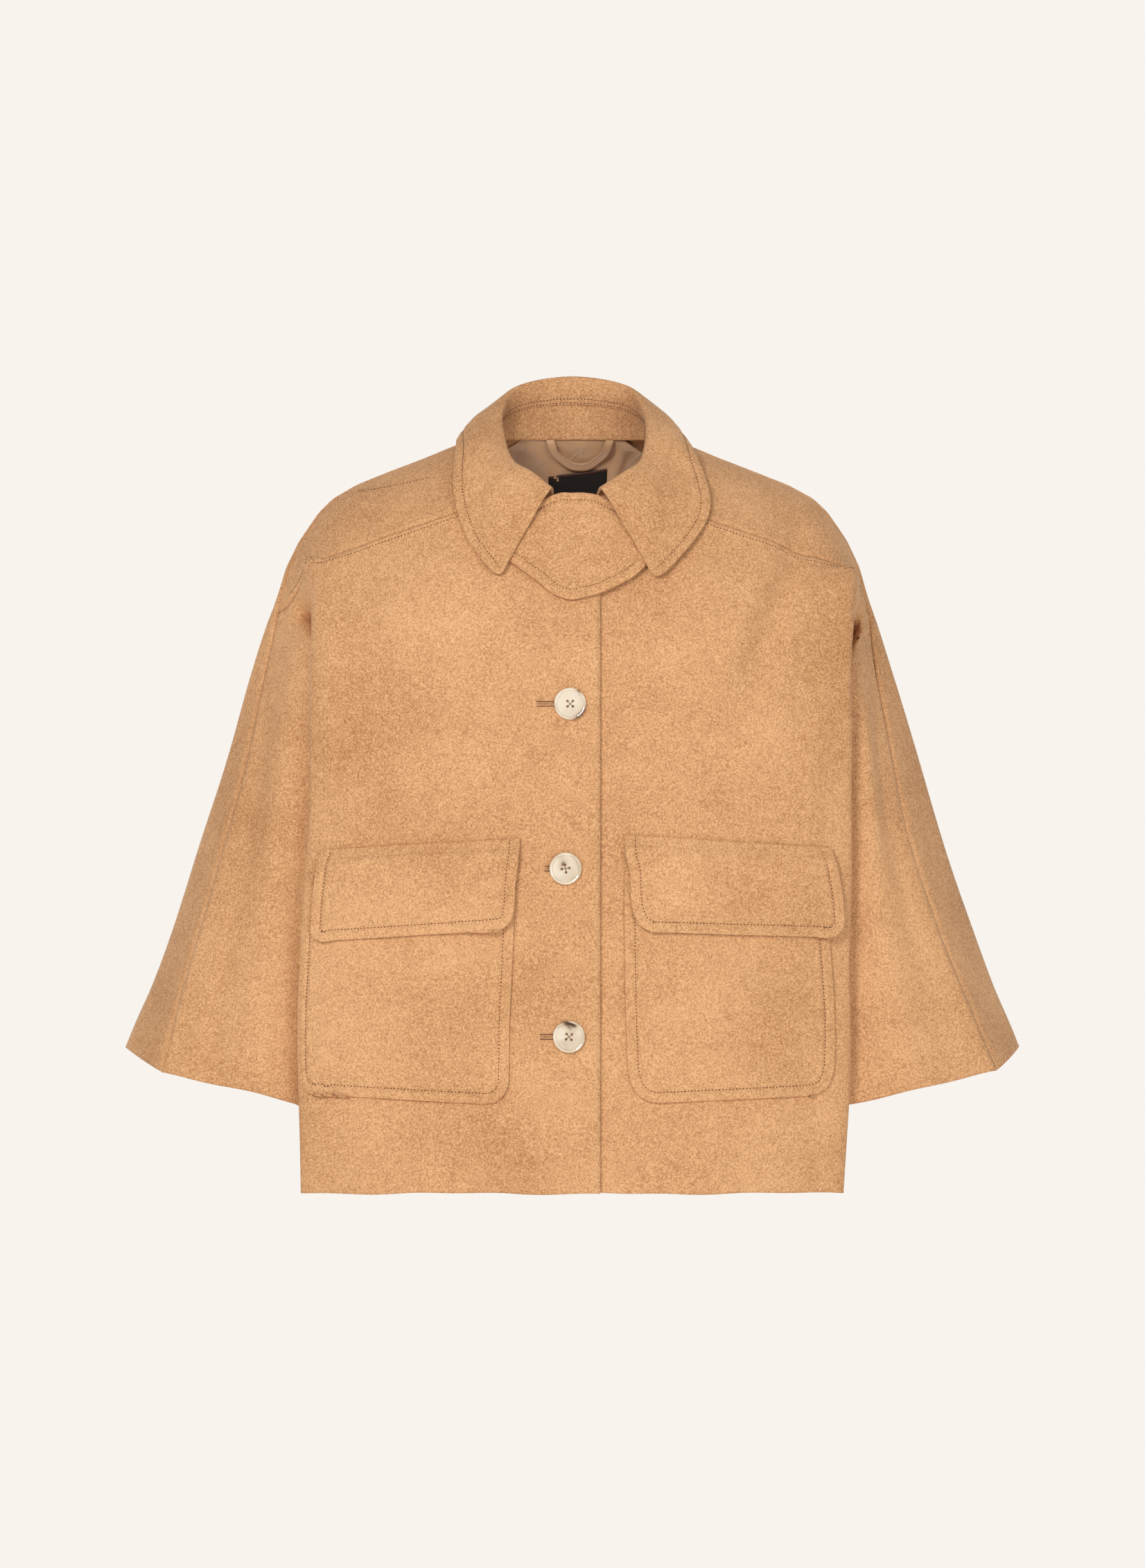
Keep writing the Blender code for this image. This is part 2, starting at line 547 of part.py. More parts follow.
def collar_grid(along, across):
    """The middle of the collar's cloth, from the neck seam (0) over the stand seam (2) and the roll (4) to the
    outer edge (8), at rows counted from the right leaf (0) round the back (6) to the left leaf (12)."""
    table = np.array(COLLAR, float)
    number = np.arange(len(table))
    lines = np.stack([smooth(number, column, along) for column in table.T], axis=1)
    roll, edge, bulge = lines[:, :3], lines[:, 3:6], lines[:, 6:]
    angle, neck = neckline()
    at = np.arctan2(roll[:, 1] - NECK_CENTRE_Y, roll[:, 0])
    seat = np.stack([np.interp(at, angle, neck[:, k], period=2 * np.pi) for k in range(3)], axis=1)
    rise = unit(roll - seat)
    fall = unit(edge - roll)
    out = unit(np.cross(np.gradient(roll, axis=0), edge - roll))
    start = seat + rise * STAND_RAISE
    height = np.linalg.norm(roll - start, axis=1, keepdims=True)
    inside = roll - rise * np.minimum(8, 0.4 * height) - out * np.minimum(3, 0.3 * height)
    outside = roll + fall * 8 + out * 4
    seam = inside + (start - inside) * STAND_SHARE
    middle = roll + (edge - roll) * 0.5 + out * bulge
    lower = roll + (edge - roll) * 0.8 + out * bulge * 0.55
    grid = through(np.stack([start, (start + seam) / 2, seam, inside, roll, outside, middle, lower, edge], axis=1),
                   across)
    return lay_on_fronts(grid, np.asarray(across) > 4.4)


def lay_on_fronts(grid, outer):
    """The leaves lie on the fronts and over the tab, so their points are drawn forward where they are too low."""
    x, y, z = grid[..., 0], grid[..., 1], grid[..., 2]
    over_tab = smooth(TAB_Z, TAB_OFF, z) + LEAF_OVER_TAB
    clear = LEAF_OVER_FRONT + (over_tab - LEAF_OVER_FRONT) * (1 - ease(np.abs(x), 70, 86))
    lowest = np.minimum(y, front_at(x, z) - clear)
    grid[..., 1] = y + (lowest - y) * (1 - ease(z, -30, -18)) * outer
    return grid


def whole_grid(name, grid, material, thickness, offset=0.0, draw_in=0.0):
    """A grid of points as one named piece of cloth."""
    index = np.arange(grid.shape[0] * grid.shape[1]).reshape(grid.shape[:2])
    mesh = add_mesh(name, grid.reshape(-1, 3), grid_faces(index, np.ones(grid.shape[:2], bool), 1))
    if draw_in:
        trim(mesh, draw_in)
    give_wall(add_object(name, mesh, material), thickness, offset)


def make_collar():
    along = np.linspace(0, 12, 43)
    whole_grid("collar_stand", collar_grid(along, [0, 1, 2]), WOOL, STAND_WALL, draw_in=SEAM_GAP)
    columns = [2, 2.6, 3, 3.5, 4, 4.5, 5, 5.5, 6, 6.7, 7.4, 8]
    whole_grid("collar_fall", collar_grid(along, columns), WOOL, COLLAR_WALL, draw_in=SEAM_GAP / 2)


def make_tab():
    x = np.linspace(TAB_X[0], TAB_X[-1], 17)
    down = np.linspace(0, 1, 8)[:, None]
    top = smooth(TAB_X, TAB_TOP, x)
    z = top + (smooth(TAB_X, TAB_BOTTOM, x) - top) * down
    y = front_at(x, z) - smooth(TAB_Z, TAB_OFF, z)
    whole_grid("throat_tab", stack(x, y, z), WOOL, TAB_WALL)


def front_patch(side, table):
    """The points of the front's outer surface under a patch: they are looked up at their height and at their
    distance along the cloth, so a patch that passes the body edge bends round it with the front."""
    table = np.array(table, float)
    shares = np.array(PATCH_COLUMNS)
    z = (table[:, :1] + (table[:, 1:2] - table[:, :1]) * shares).ravel()
    inner = np.repeat(table[:, 2], len(shares))
    past = np.repeat(table[:, 3], len(shares))
    share = np.tile(shares, len(table))
    columns = np.linspace(0, 7, 71)
    v = 2 + (-256 - z) / 386
    for _ in range(3):
        line = half_rings(side, v, True, columns)[0]
        line[..., 0] *= side
        length = np.linalg.norm(np.diff(line, axis=1), axis=2).cumsum(axis=1)
        length = np.concatenate([np.zeros((len(v), 1)), length], axis=1)
        start = np.array([np.interp(inner[i], line[i, :50, 0], length[i, :50]) for i in range(len(v))])
        at = start + (length[:, 50] + past - start) * share
        point = np.array([[np.interp(at[i], length[i], line[i, :, k]) for k in range(3)] for i in range(len(v))])
        v = v + (point[:, 2] - z) / 386
    point[:, 0] *= side
    return point.reshape(len(table), len(shares), 3)


def make_pockets():
    for word, side in SIDES.items():
        pocket = front_patch(side, POCKET[side])
        pocket += grid_normals(pocket, side) * PATCH_GAP
        flap = front_patch(side, FLAP[side])
        down = np.linspace(0, 1, len(FLAP[side]))[:, None]
        across = np.array(PATCH_COLUMNS)
        inner_lift, outer_lift = FLAP_CORNER[side]
        lift = PATCH_GAP + (FLAP_GAP - PATCH_GAP) * ease(down, 0, 0.2)
        corners = inner_lift * (1 - ease(across, 0, 0.35)) + outer_lift * ease(across, 0.65, 1)
        lift = lift + ease(down, 0.3, 1) * corners
        flap += grid_normals(flap, side) * lift[..., None]
        for name, grid, wall in (("pocket", pocket, PATCH_WALL), ("pocket_flap", flap, WALL)):
            if side < 0:
                grid = grid[:, ::-1]
            whole_grid(f"{name}_{word}", grid, WOOL, wall, offset=1.0)


def revolved(name, profile, steps):
    """A profile of radius and height turned about its axis."""
    mesh = bpy.data.meshes.new(name)
    points = [(radius * MM, 0, height * MM) for radius, height in profile]
    mesh.from_pydata(points, [(i, i + 1) for i in range(len(points) - 1)], [])
    thing = add_object(name, mesh, HORN)
    turn = thing.modifiers.new("turn", "SCREW")
    turn.steps = steps
    turn.render_steps = steps
    turn.use_merge_vertices = True
    turn.merge_threshold = 0.00005
    turn.use_smooth_shade = True
    turn.use_normal_calculate = True
    return thing


def make_buttons():
    for name, (x, z, turn) in BUTTONS.items():
        slope = float(front_depth(-1, x, z + 10) - front_depth(-1, x, z - 10)) / 20
        place = (x * MM, (float(front_depth(-1, x, z)) - BUTTON_GAP) * MM, z * MM)
        tilt = (math.pi / 2 - math.atan(slope), 0, 0)
        button = revolved(name, BUTTON_PROFILE, BUTTON_STEPS)
        holes = bmesh.new()
        for corner in range(4):
            angle = math.radians(turn + 90 * corner)
            centre = (HOLE_OFFSET * MM * math.cos(angle), HOLE_OFFSET * MM * math.sin(angle), 0)
            bmesh.ops.create_cone(holes, cap_ends=True, segments=10, radius1=HOLE_RADIUS * MM,
                                  radius2=HOLE_RADIUS * MM, depth=12 * MM, matrix=Matrix.Translation(centre))
        mesh = bpy.data.meshes.new(f"{name}_holes")
        holes.to_mesh(mesh)
        holes.free()
        cutter = bpy.data.objects.new(f"{name}_holes", mesh)
        cutter.hide_render = True
        cutter.display_type = "WIRE"
        CUTTERS.objects.link(cutter)
        for thing in (button, cutter):
            thing.location = place
            thing.rotation_euler = tilt
        cut = button.modifiers.new("holes", "BOOLEAN")
        cut.operation = "DIFFERENCE"
        cut.solver = "EXACT"
        cut.object = cutter


def inside_back(x, z, amount):
    """Points inside the back, this far in from its outer surface."""
    grid = stack(x, np.where(x < 0, back_depth(-1, x, z), back_depth(1, x, z)), z)
    return grid - grid_normals(grid, -1) * amount


def make_neck_inside():
    points, faces, middle = [], [], []
    for side in SIDES.values():
        body, _ = inner_surface(side, False)
        normal = grid_normals(body, -side)
        normal[:, 0, 0] = 0
        grid = (body - normal * LINING_GAP)[:LINING_ROWS, :EDGE_COLUMN + 1]
        middle.append(grid[:, 0].copy())
        grid[:, 0] = middle[0]
        index = np.arange(grid.shape[0] * grid.shape[1]).reshape(grid.shape[:2]) + sum(len(p) for p in points)
        faces += grid_faces(index, np.ones(index.shape, bool), -side)
        points.append(grid.reshape(-1, 3))
    mesh = add_mesh("back_lining", *merged(np.concatenate(points), faces))
    trim(mesh, 2 * SEAM_GAP)
    give_wall(add_object("back_lining", mesh, LINING), SATIN, -1.0)

    across = np.linspace(0, 1, 9)
    x = LABEL_LEFT[0] + (LABEL_RIGHT[0] - LABEL_LEFT[0]) * across
    z = LABEL_LEFT[1] + (LABEL_RIGHT[1] - LABEL_LEFT[1]) * across - np.linspace(0, LABEL_HEIGHT, 4)[:, None]
    whole_grid("neck_label", inside_back(x + 0 * z, z, LABEL_IN), LABEL, SATIN)

    whole_grid("hanger_loop", loop_grid(np.arange(len(LOOP_X)), [0.5, 0, -0.5]), WOOL, 1.0)


def loop_grid(number, widths):
    """The hanger loop's band: it hangs clear of the lining, and its ends rise to the neck seam."""
    x = smooth(np.arange(len(LOOP_X)), LOOP_X, number)
    z = smooth(np.arange(len(LOOP_Z)), LOOP_Z, number)
    way = unit(np.stack([np.gradient(x), np.gradient(z)], axis=1))
    half = np.array(widths)[:, None] * LOOP_WIDTH
    x, z = x - way[:, 1] * half, z + way[:, 0] * half
    neck_y = np.where(x < 0, back_depth(-1, x, 12), back_depth(1, x, 12))
    sewn = stack(x, neck_y - LOOP_SEWN - 0.12 * (17 - z), z)
    hanging = inside_back(x, z, LOOP_IN)
    return hanging + (sewn - hanging) * ease(z, 4, 11)[..., None]


for old in list(bpy.data.objects):
    bpy.data.objects.remove(old)
PARTS = bpy.data.collections.new("cape")
CUTTERS = bpy.data.collections.new("cutters")
for collection in (PARTS, CUTTERS):
    bpy.context.scene.collection.children.link(collection)
WOOL = cloth_material("wool", (0.55, 0.33, 0.16), 0.9)
LINING = cloth_material("satin", (0.36, 0.22, 0.11), 0.35)
LABEL = cloth_material("label", (0.01, 0.01, 0.012), 0.6)
HORN = cloth_material("horn", (0.62, 0.5, 0.36), 0.25)
make_fronts_and_yokes()
make_back()
make_collar()
make_tab()
make_pockets()
make_buttons()
make_neck_inside()
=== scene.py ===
import math

import bpy
import numpy as np
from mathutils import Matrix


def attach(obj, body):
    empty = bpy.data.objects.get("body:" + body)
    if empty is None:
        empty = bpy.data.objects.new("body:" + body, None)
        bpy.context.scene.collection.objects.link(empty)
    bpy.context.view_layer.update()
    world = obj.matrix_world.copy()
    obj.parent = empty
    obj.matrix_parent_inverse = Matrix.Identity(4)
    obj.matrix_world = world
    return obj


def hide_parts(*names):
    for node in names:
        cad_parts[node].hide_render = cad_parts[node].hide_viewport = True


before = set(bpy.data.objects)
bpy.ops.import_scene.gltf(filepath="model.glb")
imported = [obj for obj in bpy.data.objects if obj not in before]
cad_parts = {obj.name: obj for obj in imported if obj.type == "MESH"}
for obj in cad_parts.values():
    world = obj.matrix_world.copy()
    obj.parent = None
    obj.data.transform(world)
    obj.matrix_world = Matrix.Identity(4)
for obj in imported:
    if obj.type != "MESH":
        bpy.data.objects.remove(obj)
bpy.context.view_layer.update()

# The two fronts, cut in one with the front halves of their sleeves, and the two shoulder yokes above them. All
# are wool felt. Yoke and front are joined by a seam that is topstitched on the yoke.
MM = 0.001              # sizes are millimetres in the garment's own frame, and side -1 is the wearer's right
WALL = 2.2              # wool felt
LAP = 24.0              # each front passes the centre by this much
LAP_STEP = 3.4          # the under front lies this far behind the upper one
FINE = 1.0
PATH_PITCH = 1.5        # between the points of a line of sewing
SEWN = 0.9              # how deep sewing presses into the felt
# The outline seen from the front: height and half width, down the shoulder ridge and the sleeve.
OUTLINE_Z = [12, 3, -6, -18, -30, -42, -54, -66, -78, -102, -126, -150, -198, -246, -318, -390, -462, -498,
             -520]
OUTLINE_X = [72, 102, 124, 156, 186, 207, 219, 227, 235, 247, 255, 264, 279, 293, 315, 338, 364, 380, 389]
# The front edge of the body, where the panel rolls back towards the side, for each side.
EDGE_Z = {-1: [-97, -160, -230, -320, -370, -450, -560, -642],
          1: [-104, -146, -181, -233, -400, -520, -569, -642]}
EDGE_X = {-1: [227, 224, 225, 228, 232, 235, 236, 234], 1: [244, 244, 242, 241, 240, 239, 237, 233]}
# The overarm seam on the front of the sleeve, for each side.
SEAM_Z = {-1: [-144, -194, -277, -386, -450, -503, -537], 1: [-144, -182, -233, -328, -419, -487, -537]}
SEAM_X = {-1: [255, 265, 285, 314, 333, 347, 356], 1: [257, 262, 270, 290, 318, 346, 367]}
SEAM_Y = [-8, -14, -28, -42, -50, -56, -60]
# Depth of the front and the back at the centre and at the body edge.
FRONT_Z = [12, -26, -47, -80, -130, -200, -300, -450, -642]
FRONT_Y = [-46, -69, -84, -99, -115, -126, -131, -136, -141]
FRONT_EDGE_Z = [-97, -150, -250, -400, -642]
FRONT_EDGE_Y = [-50, -72, -84, -90, -96]
BACK_Z = [12, -6, -30, -60, -97, -150, -250, -400, -642]
BACK_Y = [47, 62, 78, 92, 103, 111, 115, 118, 126]
BACK_EDGE_Y = [46, 62, 72, 78, 84]
# The armhole fold runs back from the body edge until front and back meet at the underarm.
FOLD_Z = [-97, -135, -165, -200, -250]
FOLD_Y = [-44, -26, -12, -2, 6]
BACK_FOLD_Y = [40, 32, 22, 13, 6]
UNDERARM_Y = 6.0
ROLL = {-1: 6.0, 1: 4.0}                # radius of the body edge
SET_BACK = 15.0                          # the sleeve starts this far behind the body edge
FOLD_TOP = {-1: (-82, -135), 1: (-100, -160)}    # heights where the fold opens and is full
# Heights of the rings at the neck, the yoke's end, the underarm and the hem.
RING_CENTRE = [-47, -128, -258, -642]
RING_EDGE = {-1: [-26, -97, -250, -642], 1: [-26, -104, -250, -642]}
RING_SIDE_SEAM = [-26, -118, -250, -642]
RING_UNDERARM = [-26, -124, -250, -567]
RING_SLEEVE = [-26, -138, -258, -566]
RING_OVERARM = [11, -141, -266, -537]
RING_OUTER = [12, -140, -262, -516]
RING_BACK_CENTRE = [12, -122, -256, -642]
NECK_FRONT = (43, -35)                  # the forward seam meets the neck seam here
NECK_BACK = (45, 12)


def smooth(keys, values, at):
    """A smooth curve through a table: cubic pieces whose slopes are the mean of the slopes on both sides."""
    order = np.argsort(keys)
    keys = np.asarray(keys, float)[order]
    values = np.asarray(values, float)[order]
    slope = np.diff(values) / np.diff(keys)
    tangent = np.concatenate([slope[:1], (slope[1:] + slope[:-1]) / 2, slope[-1:]])
    at = np.clip(at, keys[0], keys[-1])
    i = np.clip(np.searchsorted(keys, at) - 1, 0, len(keys) - 2)
    step = keys[i + 1] - keys[i]
    t = (at - keys[i]) / step
    return ((2 * t**3 - 3 * t**2 + 1) * values[i] + (t**3 - 2 * t**2 + t) * step * tangent[i]
            + (3 * t**2 - 2 * t**3) * values[i + 1] + (t**3 - t**2) * step * tangent[i + 1])


def ease(at, start, end):
    """Zero before start, one after end, and a soft step between."""
    t = np.clip((np.asarray(at, float) - start) / (end - start), 0, 1)
    return t * t * (3 - 2 * t)


def depth(side, x, z, centre_y, edge_y, centre_z=FRONT_Z):
    """How far a panel lies from the shoulder plane at a place seen from the front. Above the armhole it is an
    oval that closes at the outline, below it a nearly flat panel that bends back towards the body edge."""
    middle = smooth(centre_z, centre_y, z)
    outline = smooth(OUTLINE_Z, OUTLINE_X, z)
    oval = middle * np.sqrt(np.clip(1 - np.clip(np.abs(x) / outline, 0, 1) ** 2.5, 0, 1))
    edge = smooth(EDGE_Z[side], EDGE_X[side], z)
    side_y = smooth(FRONT_EDGE_Z, edge_y, z)
    panel = middle + (side_y - middle) * np.clip(np.abs(x) / edge, 0, 1) ** 3
    return oval + (panel - oval) * ease(z, -80, -115)


def front_depth(side, x, z):
    return depth(side, x, z, FRONT_Y, FRONT_EDGE_Y)


def back_depth(side, x, z):
    return depth(side, x, z, BACK_Y, BACK_EDGE_Y, BACK_Z)


def through(points, columns, start=None, end=None, softness=None):
    """A smooth curve through rows of points (rows, points, 3), read at columns counted in points. Slopes follow
    the distances between the points, so a short step beside a long one doesn't overshoot. Softness is one for
    a round bend at a point and less for a sharper one."""
    points = np.asarray(points, float)
    length = np.maximum(np.linalg.norm(np.diff(points, axis=1), axis=2), 0.05)[..., None]
    slope = np.diff(points, axis=1) / length
    before, after = length[:, :-1], length[:, 1:]
    inner = (slope[:, :-1] * after + slope[:, 1:] * before) / (before + after)
    first = slope[:, :1] if start is None else start[:, None]
    last = slope[:, -1:] if end is None else end[:, None]
    tangent = np.concatenate([first, inner, last], axis=1)
    if softness is not None:
        tangent = tangent * softness[..., None]
    columns = np.asarray(columns, float)
    i = np.clip(columns.astype(int), 0, points.shape[1] - 2)
    t = (columns - i)[None, :, None]
    step = length[:, i]
    return ((2 * t**3 - 3 * t**2 + 1) * points[:, i] + (t**3 - 2 * t**2 + t) * step * tangent[:, i]
            + (3 * t**2 - 2 * t**3) * points[:, i + 1] + (t**3 - t**2) * step * tangent[:, i + 1])


def stack(x, y, z):
    """Three coordinates as points."""
    return np.stack(np.broadcast_arrays(x, y, z), axis=-1).astype(float)


def ring(values, v):
    """A value between the rings of the table, in straight steps."""
    return np.interp(v, [0, 1, 2, 3], values)


def ridge(v):
    """The shoulder ridge from the neck to the yoke's corner, at an even pace."""
    top = np.array(OUTLINE_Z, float) > -141
    x = np.append(np.array(OUTLINE_X, float)[top], 260)
    z = np.append(np.array(OUTLINE_Z, float)[top], -140)
    along = np.concatenate([[0], np.cumsum(np.hypot(np.diff(x), np.diff(z)))])
    at = np.clip(v, 0, 1) ** 1.3 * along[-1]
    return np.interp(at, along, x), np.interp(at, along, z)


def body_and_sleeve(side, v, front):
    """The control points of one half, front or back, at rings v: first the body from its centre to the side
    seam (nine points), then the sleeve from the underarm to the overarm line (six points)."""
    sign = -1 if front else 1
    panel = front_depth if front else back_depth
    upper = v < 1
    edge_z = ring(RING_EDGE[side], v)
    edge_x = smooth(EDGE_Z[side], EDGE_X[side], edge_z)
    neck_x, neck_z = NECK_FRONT if front else NECK_BACK
    tip_x = smooth(EDGE_Z[side], EDGE_X[side], RING_EDGE[side][1])
    early = 1 - (1 - np.clip(v, 0, 1)) ** 1.6
    seam_x = neck_x + (tip_x - neck_x) * early
    seam_z = neck_z + (RING_EDGE[side][1] - neck_z) * early
    edge_x = np.where(upper, seam_x, edge_x)
    edge_z = np.where(upper, seam_z, edge_z)
    back_in = 0 if front else 5.0
    edge_x = edge_x - back_in * ease(v, 0.5, 1.5)
    full = ease(edge_z, *FOLD_TOP[side]) * ease(v, 0.85, 1.35)
    roll = ROLL[side] * full
    edge_y = panel(side, edge_x, edge_z)
    centre_z = ring(RING_CENTRE if front else RING_BACK_CENTRE, v)
    start_x = -LAP if front else 0.0

    body = []
    for share in (0.0, 0.22, 0.45, 0.7, 0.9):
        x = start_x + (edge_x - start_x) * share if share else np.full_like(v, start_x)
        x = np.where(share == 0.9, np.minimum(x, edge_x - 1.6 * roll - 2), x)
        z = centre_z + (edge_z - centre_z) * share**1.6
        y = panel(side, x, z)
        if front and side > 0:
            y = y + LAP_STEP * ease(x, 75, 35)
        body.append(stack(x, y, z))
    body.append(stack(edge_x, edge_y + sign * -0.8 * roll, edge_z))

    fold_y = smooth(FOLD_Z, FOLD_Y if front else BACK_FOLD_Y, ring(RING_SIDE_SEAM, v))
    fold_y = np.where(v >= 2, UNDERARM_Y, fold_y)
    part = 4.5 * ease(v, 1.95, 2.2)
    wall_y = edge_y - sign * 2.2 * roll
    side_z = ring(RING_SIDE_SEAM, v)
    under_z = ring(RING_UNDERARM, v)
    sleeve_z = ring(RING_SLEEVE, v)
    over_x = smooth(SEAM_Z[side], SEAM_X[side], ring(RING_OVERARM, v))
    over_y = smooth(SEAM_Z[side], SEAM_Y, ring(RING_OVERARM, v))
    over_z = ring(RING_OVERARM, v)
    top_x, top_z = ridge(v)
    over_x = np.where(upper, top_x - 3 * ease(v, 0.8, 1.0), over_x)
    over_y = np.where(upper, -3 - 5 * ease(v, 0.6, 1.0), over_y)
    over_z = np.where(upper, top_z - 0.4 - 0.6 * ease(v, 0.6, 1.0), over_z)
    outer_z = np.where(upper, top_z, ring(RING_OUTER, v))
    outer_x = np.where(upper, top_x, smooth(OUTLINE_Z, OUTLINE_X, outer_z))
    outer_y = np.where(upper, 2.0, 2 + 5 * ease(v, 1, 2.5))
    end = stack(over_x, over_y, over_z) if front else stack(outer_x, outer_y, outer_z)

    body_edge = body[-1]
    strip = []
    for share in (0.24, 0.38, 0.5, 0.61, 0.71, 0.81, 0.91):
        rest = 1 - share
        bulge = np.stack([0.6 - 0.4 * ease(v, 0, 0.8), 0 * v, np.full_like(v, 0.8)], axis=1)
        powers = 1 + bulge * (1 - ease(v, 0.9, 1.6))[:, None]
        strip.append(end + (body_edge - end) * rest**powers)

    beside = np.where(v > 1, smooth(EDGE_Z[side], EDGE_X[side], sleeve_z), edge_x + back_in)
    set_back = panel(side, np.where(v > 1, beside, edge_x), np.where(v > 1, sleeve_z, edge_z)) - sign * SET_BACK
    sleeve_x = beside - 1.0
    end_x, end_y, end_z = end[:, 0], end[:, 1], end[:, 2]
    wall_mid = wall_y + 0.6 * (fold_y - wall_y)
    in_mid = set_back + 0.6 * (fold_y - set_back)
    swell = sign * (5 + 7 * ease(v, 1.2, 3))
    if front:
        mid_y = set_back + (end_y - set_back) * 0.28 + swell * 0.6
        out_y = set_back + (end_y - set_back) * 0.68 + swell * 0.5
        mid_share, out_share = 0.36, 0.72
    else:
        mid_y = set_back + 0.04 * swell + 2
        out_y = set_back * 0.62 + 6
        mid_share, out_share = 0.45, 0.86
    folded = [
        stack(edge_x - 0.9 * roll, wall_y, edge_z),
        stack(edge_x - 11, wall_mid, side_z),
        stack(edge_x - 7 - part, fold_y, side_z),
        stack(sleeve_x - 2, in_mid, under_z),
        stack(sleeve_x, set_back, sleeve_z),
        stack(sleeve_x + (end_x - sleeve_x) * mid_share, mid_y, sleeve_z + (end_z - sleeve_z) * mid_share),
        stack(sleeve_x + (end_x - sleeve_x) * out_share, out_y, sleeve_z + (end_z - sleeve_z) * out_share),
    ]
    mixed = [flat + (bent - flat) * full[:, None] for flat, bent in zip(strip, folded)]
    under = stack(beside - back_in - 7 + part, fold_y, under_z)
    under = strip[2] + (under - strip[2]) * full[:, None]
    body += mixed[:3]
    sleeve = [under] + mixed[3:] + [end]
    return np.stack(body, axis=1), np.stack(sleeve, axis=1)


def half_rings(side, v, front, body_columns, sleeve_columns):
    """The body and the sleeve of one half as grids of points. Above the underarm the two meet in one fold, so
    there both leave it in the same direction."""
    body, sleeve = body_and_sleeve(side, v, front)
    apart = ease(v, 2.0, 2.25)[:, None]
    across = sleeve[:, 1] - body[:, -2]
    across = across / np.maximum(np.linalg.norm(across, axis=1), 1)[:, None]
    own_body = body[:, -1] - body[:, -2]
    own_body = own_body / np.maximum(np.linalg.norm(own_body, axis=1), 1)[:, None]
    own_sleeve = sleeve[:, 1] - sleeve[:, 0]
    own_sleeve = own_sleeve / np.maximum(np.linalg.norm(own_sleeve, axis=1), 1)[:, None]
    body_end = across + (own_body - across) * apart
    sleeve_start = across + (own_sleeve - across) * apart
    sleeve_soft = np.ones((len(v), 6))
    sleeve_soft[:, 2] = 0.4
    body_grid = through(body, body_columns, end=body_end)
    sleeve_grid = through(sleeve, sleeve_columns, start=sleeve_start, softness=sleeve_soft)
    for grid in (body_grid, sleeve_grid):
        grid[..., 0] *= side
    return body_grid, sleeve_grid


def grid_normals(grid, flip):
    """Unit normals of a grid of points: each is the mean of the normals of the quads round it, and a quad's
    normal is the cross product of its diagonals."""
    quads = np.cross(grid[1:, 1:] - grid[:-1, :-1], grid[:-1, 1:] - grid[1:, :-1]) * flip
    quads /= np.maximum(np.linalg.norm(quads, axis=2, keepdims=True), 1e-9)
    normal = np.zeros_like(grid)
    for rows_at in (slice(0, -1), slice(1, None)):
        for columns_at in (slice(0, -1), slice(1, None)):
            normal[rows_at, columns_at] += quads
    return normal / np.maximum(np.linalg.norm(normal, axis=2, keepdims=True), 1e-9)


def unit(vectors):
    """The same directions, one long."""
    return vectors / np.maximum(np.linalg.norm(vectors, axis=-1, keepdims=True), 1e-9)


def front_at(x, z):
    """The depth of the front's smooth surface on either side of the centre."""
    return np.where(x < 0, front_depth(-1, x, z), front_depth(1, x, z))


def count(number):
    return max(4, int(round(number * FINE)))


def near(points, path):
    """For each point the number of the nearest point of the path and how far away it is."""
    flat = points.reshape(-1, 3)
    nearest = np.empty(len(flat), int)
    away = np.empty(len(flat))
    for start in range(0, len(flat), 3000):
        part = flat[start:start + 3000]
        squared = ((part[:, None] - path[None]) ** 2).sum(axis=2)
        nearest[start:start + 3000] = squared.argmin(axis=1)
        away[start:start + 3000] = np.sqrt(squared.min(axis=1))
    return nearest.reshape(points.shape[:-1]), away.reshape(points.shape[:-1])


def evenly(path, pitch):
    """The same path at an even pitch, and its direction there."""
    step = np.linalg.norm(np.diff(path, axis=0), axis=1)
    along = np.concatenate([[0], step.cumsum()])
    at = np.arange(pitch / 2, along[-1], pitch)
    points = np.stack([np.interp(at, along, path[:, k]) for k in range(3)], axis=1)
    return points, unit(np.gradient(points, axis=0))


def plain(name, colour, roughness):
    """An even finish: one colour and one roughness."""
    material = bpy.data.materials.new(name)
    material.use_nodes = True
    shader = material.node_tree.nodes["Principled BSDF"]
    shader.inputs["Base Color"].default_value = (*colour, 1)
    shader.inputs["Roughness"].default_value = roughness
    return material


def cloud(material, scale, detail=2.0, roughness=0.5, distortion=0.0):
    """A cloudy pattern on the piece's own coordinates, a number from nought to one."""
    nodes, links = material.node_tree.nodes, material.node_tree.links
    place = nodes.new("ShaderNodeTexCoord")
    noise = nodes.new("ShaderNodeTexNoise")
    noise.inputs["Scale"].default_value = scale
    noise.inputs["Detail"].default_value = detail
    noise.inputs["Roughness"].default_value = roughness
    noise.inputs["Distortion"].default_value = distortion
    links.new(place.outputs["Object"], noise.inputs["Vector"])
    return noise.outputs["Fac"]


def two_tone(material, low, high, factor):
    """Colours a material between two tones by a pattern."""
    nodes, links = material.node_tree.nodes, material.node_tree.links
    mix = nodes.new("ShaderNodeMix")
    mix.data_type = "RGBA"
    mix.inputs[6].default_value = (*low, 1)
    mix.inputs[7].default_value = (*high, 1)
    links.new(factor, mix.inputs[0])
    links.new(mix.outputs[2], nodes["Principled BSDF"].inputs["Base Color"])


